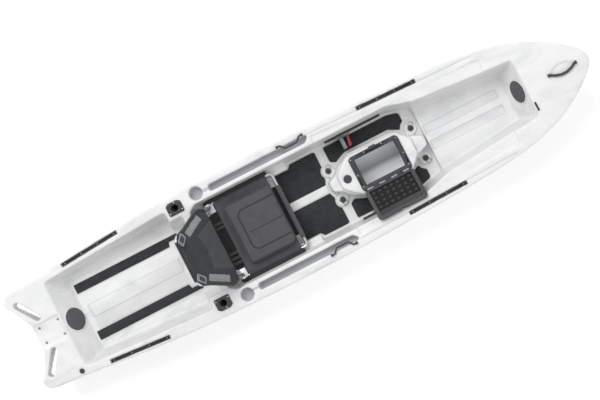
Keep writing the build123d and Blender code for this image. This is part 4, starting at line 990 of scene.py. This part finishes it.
def buildReclineStraps():
    # one long strap each side, from the front clamp to the bracket
    low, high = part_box("recline_straps")
    y = high.y + 0.003
    z = high.z + 0.0005
    for name, sign in (("reclineStrapPort", 1), ("reclineStrapStarboard", -1)):
        route = [(low.x - 0.066, sign * (y - 0.010), z - 0.002), (low.x - 0.030, sign * y, z),
                 (low.x + 0.10, sign * (y + 0.0008), z + 0.001),
                 (low.x + 0.20, sign * (y - 0.0005), z + 0.0005),
                 (high.x - 0.10, sign * (y + 0.0006), z), (high.x + 0.038, sign * y, z)]
        strap = bandAlong(name, bent(route), seat["reclineWide"], (0, -sign * 0.78, 0.62), 0.0022,
                          "webbing", "seat")
        if sign > 0:
            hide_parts("recline_straps")


# backrest: one padded cover drawn over the tube, with its panels, side windows and buckles
back = {
    "lean": 34.0, "length": 0.425,
    "halves": [(0.0, 0.226), (0.046, 0.226), (0.120, 0.250), (0.330, 0.172), (0.425, 0.150)],
    "cover": 0.0125, "corner": 0.056, "start": 0.050, "columns": 120, "rows": 112,
    "lumbar": (0.066, 0.226), "lumbarHalf": 0.118, "lumbarFlare": 0.31, "lumbarArch": 0.026,
    "window": (0.150, 0.335), "windowInset": (0.024, 0.072),
    "buckleAt": (0.128, 0.392, 0.0185), "buckleSize": (0.070, 0.042),
    "buckleBars": (-0.022, -0.007, 0.009, 0.023), "tabWide": 0.025,
    "valley": 0.0050, "crown": 0.006, "rearDepth": 0.009,
}


def backPlace(across, up, out):
    # local sizes to the row frame: across to port, up the back, out towards the sitter
    pivot = joints["backrest_fold"]["pos_m"]
    lean = math.radians(back["lean"])
    x = pivot[0] - up * math.sin(lean) + out * math.cos(lean)
    z = pivot[2] + up * math.cos(lean) + out * math.sin(lean)
    return np.stack([x, across, z], axis=-1) if isinstance(across, np.ndarray) else Vector((x, across, z))


def backHalf(up):
    ups, halves = zip(*back["halves"])
    half = np.interp(up, ups, halves)
    smooth = sum(np.interp(up + shift, ups, halves) for shift in (-0.024, -0.012, 0, 0.012, 0.024)) / 5
    half = np.where(up < 0.38, smooth, half) + back["cover"]
    top = back["length"] + back["cover"]
    bend = top - back["corner"]
    rise = np.clip((up - bend) / back["corner"], 0, 1)
    return half - back["corner"] * (1 - np.sqrt(np.clip(1 - rise ** 2, 0, 1)))


def backSurface(across, up, side):
    # how far the cover stands out from the tube's plane, front (side 1) or rear (side -1)
    b = back
    top = b["length"] + b["cover"]
    inset = np.minimum(backHalf(up) - np.abs(across), top - up)
    inset = np.maximum(inset, 0)
    r = b["cover"]
    roll = np.sqrt(np.clip(r * r - (r - np.minimum(inset, r)) ** 2, 0, None))
    foot = np.clip((up - b["start"]) / 0.018, 0, 1)
    roll = roll * np.sqrt(np.clip(1 - (1 - foot) ** 2, 0, 1))
    if side < 0:
        inner = smoothStep(inset, r, 0.045)
        return -(roll - inner * (r - b["rearDepth"]) * foot)
    valley = b["valley"] * smoothStep(inset, r, 0.026) * (1 - smoothStep(inset, 0.030, 0.052))
    crown = b["crown"] * smoothStep(inset, 0.040, 0.085) * foot
    out = roll - valley * foot + crown
    lumbar = inLumbar(across, up)
    rim = np.abs(edgeOfLumbar(across, up))
    out += seamDip(rim, 0.0032, 0.0032)
    ribs = 0.0009 * np.cos(2 * math.pi * up / seat["ribPitch"]) * lumbar
    centreSeam = seamDip(np.abs(across + 0.010), 0.004, 0.0030)
    out += ribs + centreSeam * smoothStep(up, 0.07, 0.09) * (1 - smoothStep(up, 0.26, 0.28))
    out += seamDip(np.abs(windowEdge(across, up)), 0.003, 0.0024)
    wrinkle = 0.0007 * np.sin(across * 61 + 9 * up) * np.sin(up * 83 + 1.7 * np.sin(across * 20))
    return out + wrinkle * foot


def edgeOfLumbar(across, up):
    low, high = back["lumbar"]
    taper = back["lumbarHalf"] + back["lumbarFlare"] * np.maximum(high - up, 0)
    arch = high + back["lumbarArch"] * (across / back["lumbarHalf"]) ** 2
    return np.maximum(np.abs(across) - taper, np.maximum(low - up, up - arch))


def inLumbar(across, up):
    return (edgeOfLumbar(across, up) < 0).astype(float)


def windowEdge(across, up):
    low, high = back["window"]
    near, far = back["windowInset"]
    inset = backHalf(up) - np.abs(across)
    ends = np.maximum(low - up - 0.25 * inset, up - high + 0.35 * inset)
    return np.maximum(np.maximum(near - inset, inset - far), ends)


def buildBackrest():
    b = back
    columns = b["columns"]
    rows = b["rows"]
    top = b["length"] + b["cover"]
    ease = np.sin(np.linspace(-1, 1, columns + 1) * math.pi / 2 * 0.995)
    climb = np.linspace(0, 1, rows + 1)
    ups = b["start"] + (top - b["start"]) * (0.25 * climb + 0.75 * np.sin(climb * math.pi / 2))
    ups[-1] = top - 0.0002
    verts = []
    places = []
    for side in (1, -1):
        for up in ups:
            across = ease * backHalf(np.full_like(ease, up))
            out = backSurface(across, np.full_like(across, up), side)
            verts += [tuple(p) for p in backPlace(across, np.full_like(across, up), out)]
            places += [(a, up) for a in across]
    count = (rows + 1) * (columns + 1)
    faces = []
    for j in range(rows):
        for i in range(columns):
            a = j * (columns + 1) + i
            loop = (a, a + 1, a + columns + 2, a + columns + 1)
            faces.append(loop[::-1])
            faces.append(tuple(v + count for v in loop))
    edge = [j * (columns + 1) for j in range(rows + 1)]
    edge += [rows * (columns + 1) + i for i in range(1, columns + 1)]
    edge += [j * (columns + 1) + columns for j in range(rows - 1, -1, -1)] + list(range(columns - 1, 0, -1))
    for a, c in zip(edge, edge[1:] + edge[:1]):
        faces.append((a, c, c + count, a + count))
    mesh = bpy.data.meshes.new("backCover")
    mesh.from_pydata(verts, [], faces)
    cover = makeObject("backCover", mesh)
    paint(cover, finish["darkCloth"])
    cover.data.materials.append(finish["lumbar"])
    cover.data.materials.append(finish["paleMesh"])
    across, up = np.array(places).T
    lumbar = edgeOfLumbar(across, up) < 0
    window = windowEdge(across, up) < 0
    slots = np.zeros(len(faces), int)
    for k, face in enumerate(faces[: 2 * rows * columns]):
        if face[0] < count and all(lumbar[v] for v in face):
            slots[k] = 1
        elif face[0] < count and all(window[v] for v in face):
            slots[k] = 2
    cover.data.polygons.foreach_set("material_index", slots)
    bm = bmesh.new()
    bm.from_mesh(cover.data)
    bmesh.ops.remove_doubles(bm, verts=bm.verts, dist=4e-5)
    bmesh.ops.recalc_face_normals(bm, faces=bm.faces)
    bm.to_mesh(cover.data)
    bm.free()
    shadeSmooth(cover, 180)
    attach(cover, "backrest")
    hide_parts("backrest_panel")


def roundBar(bm, points3, radius, sides=10):
    # a bar along a closed run of points
    pts = [Vector(p) for p in points3]
    rows = []
    for k, p in enumerate(pts):
        heading = (pts[(k + 1) % len(pts)] - pts[k - 1]).normalized()
        upright = abs(heading.dot(Vector((0, 0, 1)))) > 0.99
        one = (heading.orthogonal() if upright else heading.cross(Vector((0, 0, 1)))).normalized()
        two = heading.cross(one).normalized()
        rows.append([bm.verts.new(p + one * radius * math.cos(2 * math.pi * i / sides)
                                  + two * radius * math.sin(2 * math.pi * i / sides)) for i in range(sides)])
    for a, b in zip(rows, rows[1:] + rows[:1]):
        for i in range(sides):
            bm.faces.new((a[i], a[(i + 1) % sides], b[(i + 1) % sides], b[i]))


def buckle(name, centre, along, across, up, body):
    # ladder-lock buckle: a rounded frame with cross bars
    bm = bmesh.new()
    half, side = (size / 2 for size in back["buckleSize"])

    def at(a, b, c=0.0):
        return centre + along * a + across * b + up * c

    corner = 0.006
    ring = []
    for ca, cb, start in ((half - corner, side - corner, 0), (corner - half, side - corner, 90),
                          (corner - half, corner - side, 180), (half - corner, corner - side, 270)):
        turns = [math.radians(start + t) for t in (0, 22, 45, 68, 90)]
        ring += [at(ca + corner * math.cos(t), cb + corner * math.sin(t)) for t in turns]
    roundBar(bm, ring, 0.0026)
    for place in back["buckleBars"]:
        loop = [at(place + 0.0030 * math.cos(t), side * s, 0.0015 * math.sin(t))
                for s, t in ((-0.98, 0), (-0.3, 0.3), (0.3, 0.3), (0.98, 0),
                             (0.98, 3.14), (0.3, 2.8), (-0.3, 2.8), (-0.98, 3.14))]
        roundBar(bm, loop, 0.0017, 8)
    bmesh.ops.recalc_face_normals(bm, faces=bm.faces)
    obj = fromBmesh(name, bm)
    shadeSmooth(obj, 60)
    paint(obj, finish["buckle"])
    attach(obj, body)
    return obj


def buildBackDetails():
    lean = math.radians(back["lean"])
    upDir = Vector((-math.sin(lean), 0, math.cos(lean)))
    outDir = Vector((math.cos(lean), 0, math.sin(lean)))
    for name, sign in (("Port", 1), ("Starboard", -1)):
        across = Vector((0, sign, 0))
        along = (upDir * 0.80 - across * 0.60).normalized()
        sideways = outDir.cross(along).normalized()
        away, up, out = back["buckleAt"]
        centre = backPlace(sign * away, up, out)
        buckle("cornerBuckle" + name, centre, along, sideways, outDir, "backrest")
        tab = [centre - along * 0.052 - outDir * 0.0085, centre - along * 0.030 + outDir * 0.0005,
               centre + outDir * 0.0035, centre + along * 0.026 + outDir * 0.0005,
               centre + along * 0.046 - outDir * 0.0150]
        bandAlong("cornerTab" + name, bent(tab, 2), back["tabWide"], sideways, seat["webbing"],
                  "webbing", "backrest")


lidFoam = {
    "tilt": 25.0, "peaks": (7, 4), "base": 0.0040, "rise": 0.0095,
    "grid": (150, 84), "quickGrid": (56, 28),
}


def buildLidFoam():
    # egg-crate foam in the lid tray: soft peaks over a flat back
    low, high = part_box("lid_foam")
    hinge = Vector(joints["hatch_lid_hinge"]["pos_m"])
    tilt = math.radians(lidFoam["tilt"])
    outDir = Vector((0, -math.cos(tilt), math.sin(tilt)))
    upDir = Vector((0, math.sin(tilt), math.cos(tilt)))
    co = points(cad["lid_foam"]) - np.array(hinge)
    run = co @ np.array(outDir)
    lift = co @ np.array(upDir)
    x1, x2, r1, r2, l1 = low.x, high.x, run.min(), run.max(), lift.min()
    columns, rowsCount = lidFoam["grid"]
    pitchX, pitchR = (x2 - x1) / lidFoam["peaks"][0], (r2 - r1) / lidFoam["peaks"][1]

    def height(a, r):
        bump = math.sin(math.pi * (a - x1) / pitchX) ** 2 * math.sin(math.pi * (r - r1) / pitchR) ** 2
        edge = min(a - x1, x2 - a, r - r1, r2 - r)
        return lidFoam["base"] + lidFoam["rise"] * bump ** 0.8 * min(1, edge / 0.006)

    bm = bmesh.new()
    grid = []
    for j in range(rowsCount + 1):
        r = r1 + (r2 - r1) * j / rowsCount
        row = []
        for i in range(columns + 1):
            a = x1 + (x2 - x1) * i / columns
            place = hinge + Vector((a - hinge.x, 0, 0)) + outDir * r
            row.append(bm.verts.new(place + upDir * (l1 + height(a, r))))
        grid.append(row)
    base = [[bm.verts.new(v.co - upDir * ((v.co - hinge).dot(upDir) - l1)) for v in row] for row in grid]
    for sheetRows, flip in ((grid, False), (base, True)):
        for one, two in zip(sheetRows, sheetRows[1:]):
            for a, b, c, d in zip(one, one[1:], two[1:], two):
                bm.faces.new((d, c, b, a) if flip else (a, b, c, d))
    edge = grid[0] + [row[-1] for row in grid[1:]] + grid[-1][-2::-1] + [row[0] for row in grid[-2:0:-1]]
    under = base[0] + [row[-1] for row in base[1:]] + base[-1][-2::-1] + [row[0] for row in base[-2:0:-1]]
    for a, b, c, d in zip(edge, edge[1:] + edge[:1], under[1:] + under[:1], under):
        bm.faces.new((a, b, c, d))
    bmesh.ops.recalc_face_normals(bm, faces=bm.faces)
    foam = fromBmesh("lidFoam", bm)
    lift = (points(foam) - np.array(hinge)) @ np.array(upDir) - l1
    # painted shade: the valleys between the peaks are darkened, the peaks left lighter
    setShade(foam, 1 - smoothStep(lift, 0.0055, 0.0125))
    shadeSmooth(foam, 50)
    paint(foam, finish["foam"])
    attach(foam, "hatch_lid")
    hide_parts("lid_foam")


buildCushion()
buildPan()
buildSleeve()
buildRearStraps()
buildDrops()
buildReclineStraps()
buildBackrest()
buildBackDetails()
buildLidFoam()
print("soft goods done")


# stage
def buildStage():
    bm = bmesh.new()
    bmesh.ops.create_grid(bm, x_segments=1, y_segments=1, size=studio["floorHalf"])
    floor = fromBmesh("studioFloor", bm)
    paint(floor, floorPaper())
    world = bpy.data.worlds.new("studio")
    bpy.context.scene.world = world
    world.use_nodes = True
    backdrop = world.node_tree.nodes["Background"]
    backdrop.inputs["Color"].default_value = (1, 1, 1, 1)
    backdrop.inputs["Strength"].default_value = studio["world"]
    for role in ("key", "fill"):
        light = bpy.data.lights.new(role, "AREA")
        light.shape = "DISK"
        light.size = studio[role + "Size"]
        light.energy = studio[role + "Power"]
        lamp = makeObject(role, light)
        place = Vector(studio[role + "Place"])
        lamp.location = place
        lamp.rotation_euler = (Vector((0, 0, 0.2)) - place).to_track_quat("-Z", "Y").to_euler()


def buildCamera():
    data = bpy.data.cameras.new("camera")
    data.lens = camera["lens"]
    data.sensor_width = 36
    data.clip_end = 200
    eye = makeObject("camera", data)
    x, y = camera["centre"]
    eye.location = (x, y, camera["deckLevel"] + camera["distance"])
    eye.rotation_euler = (0, 0, math.radians(camera["turn"]))
    bpy.context.scene.camera = eye
    bpy.context.scene.view_settings.view_transform = "Standard"


buildStage()
buildCamera()
print("stage done")
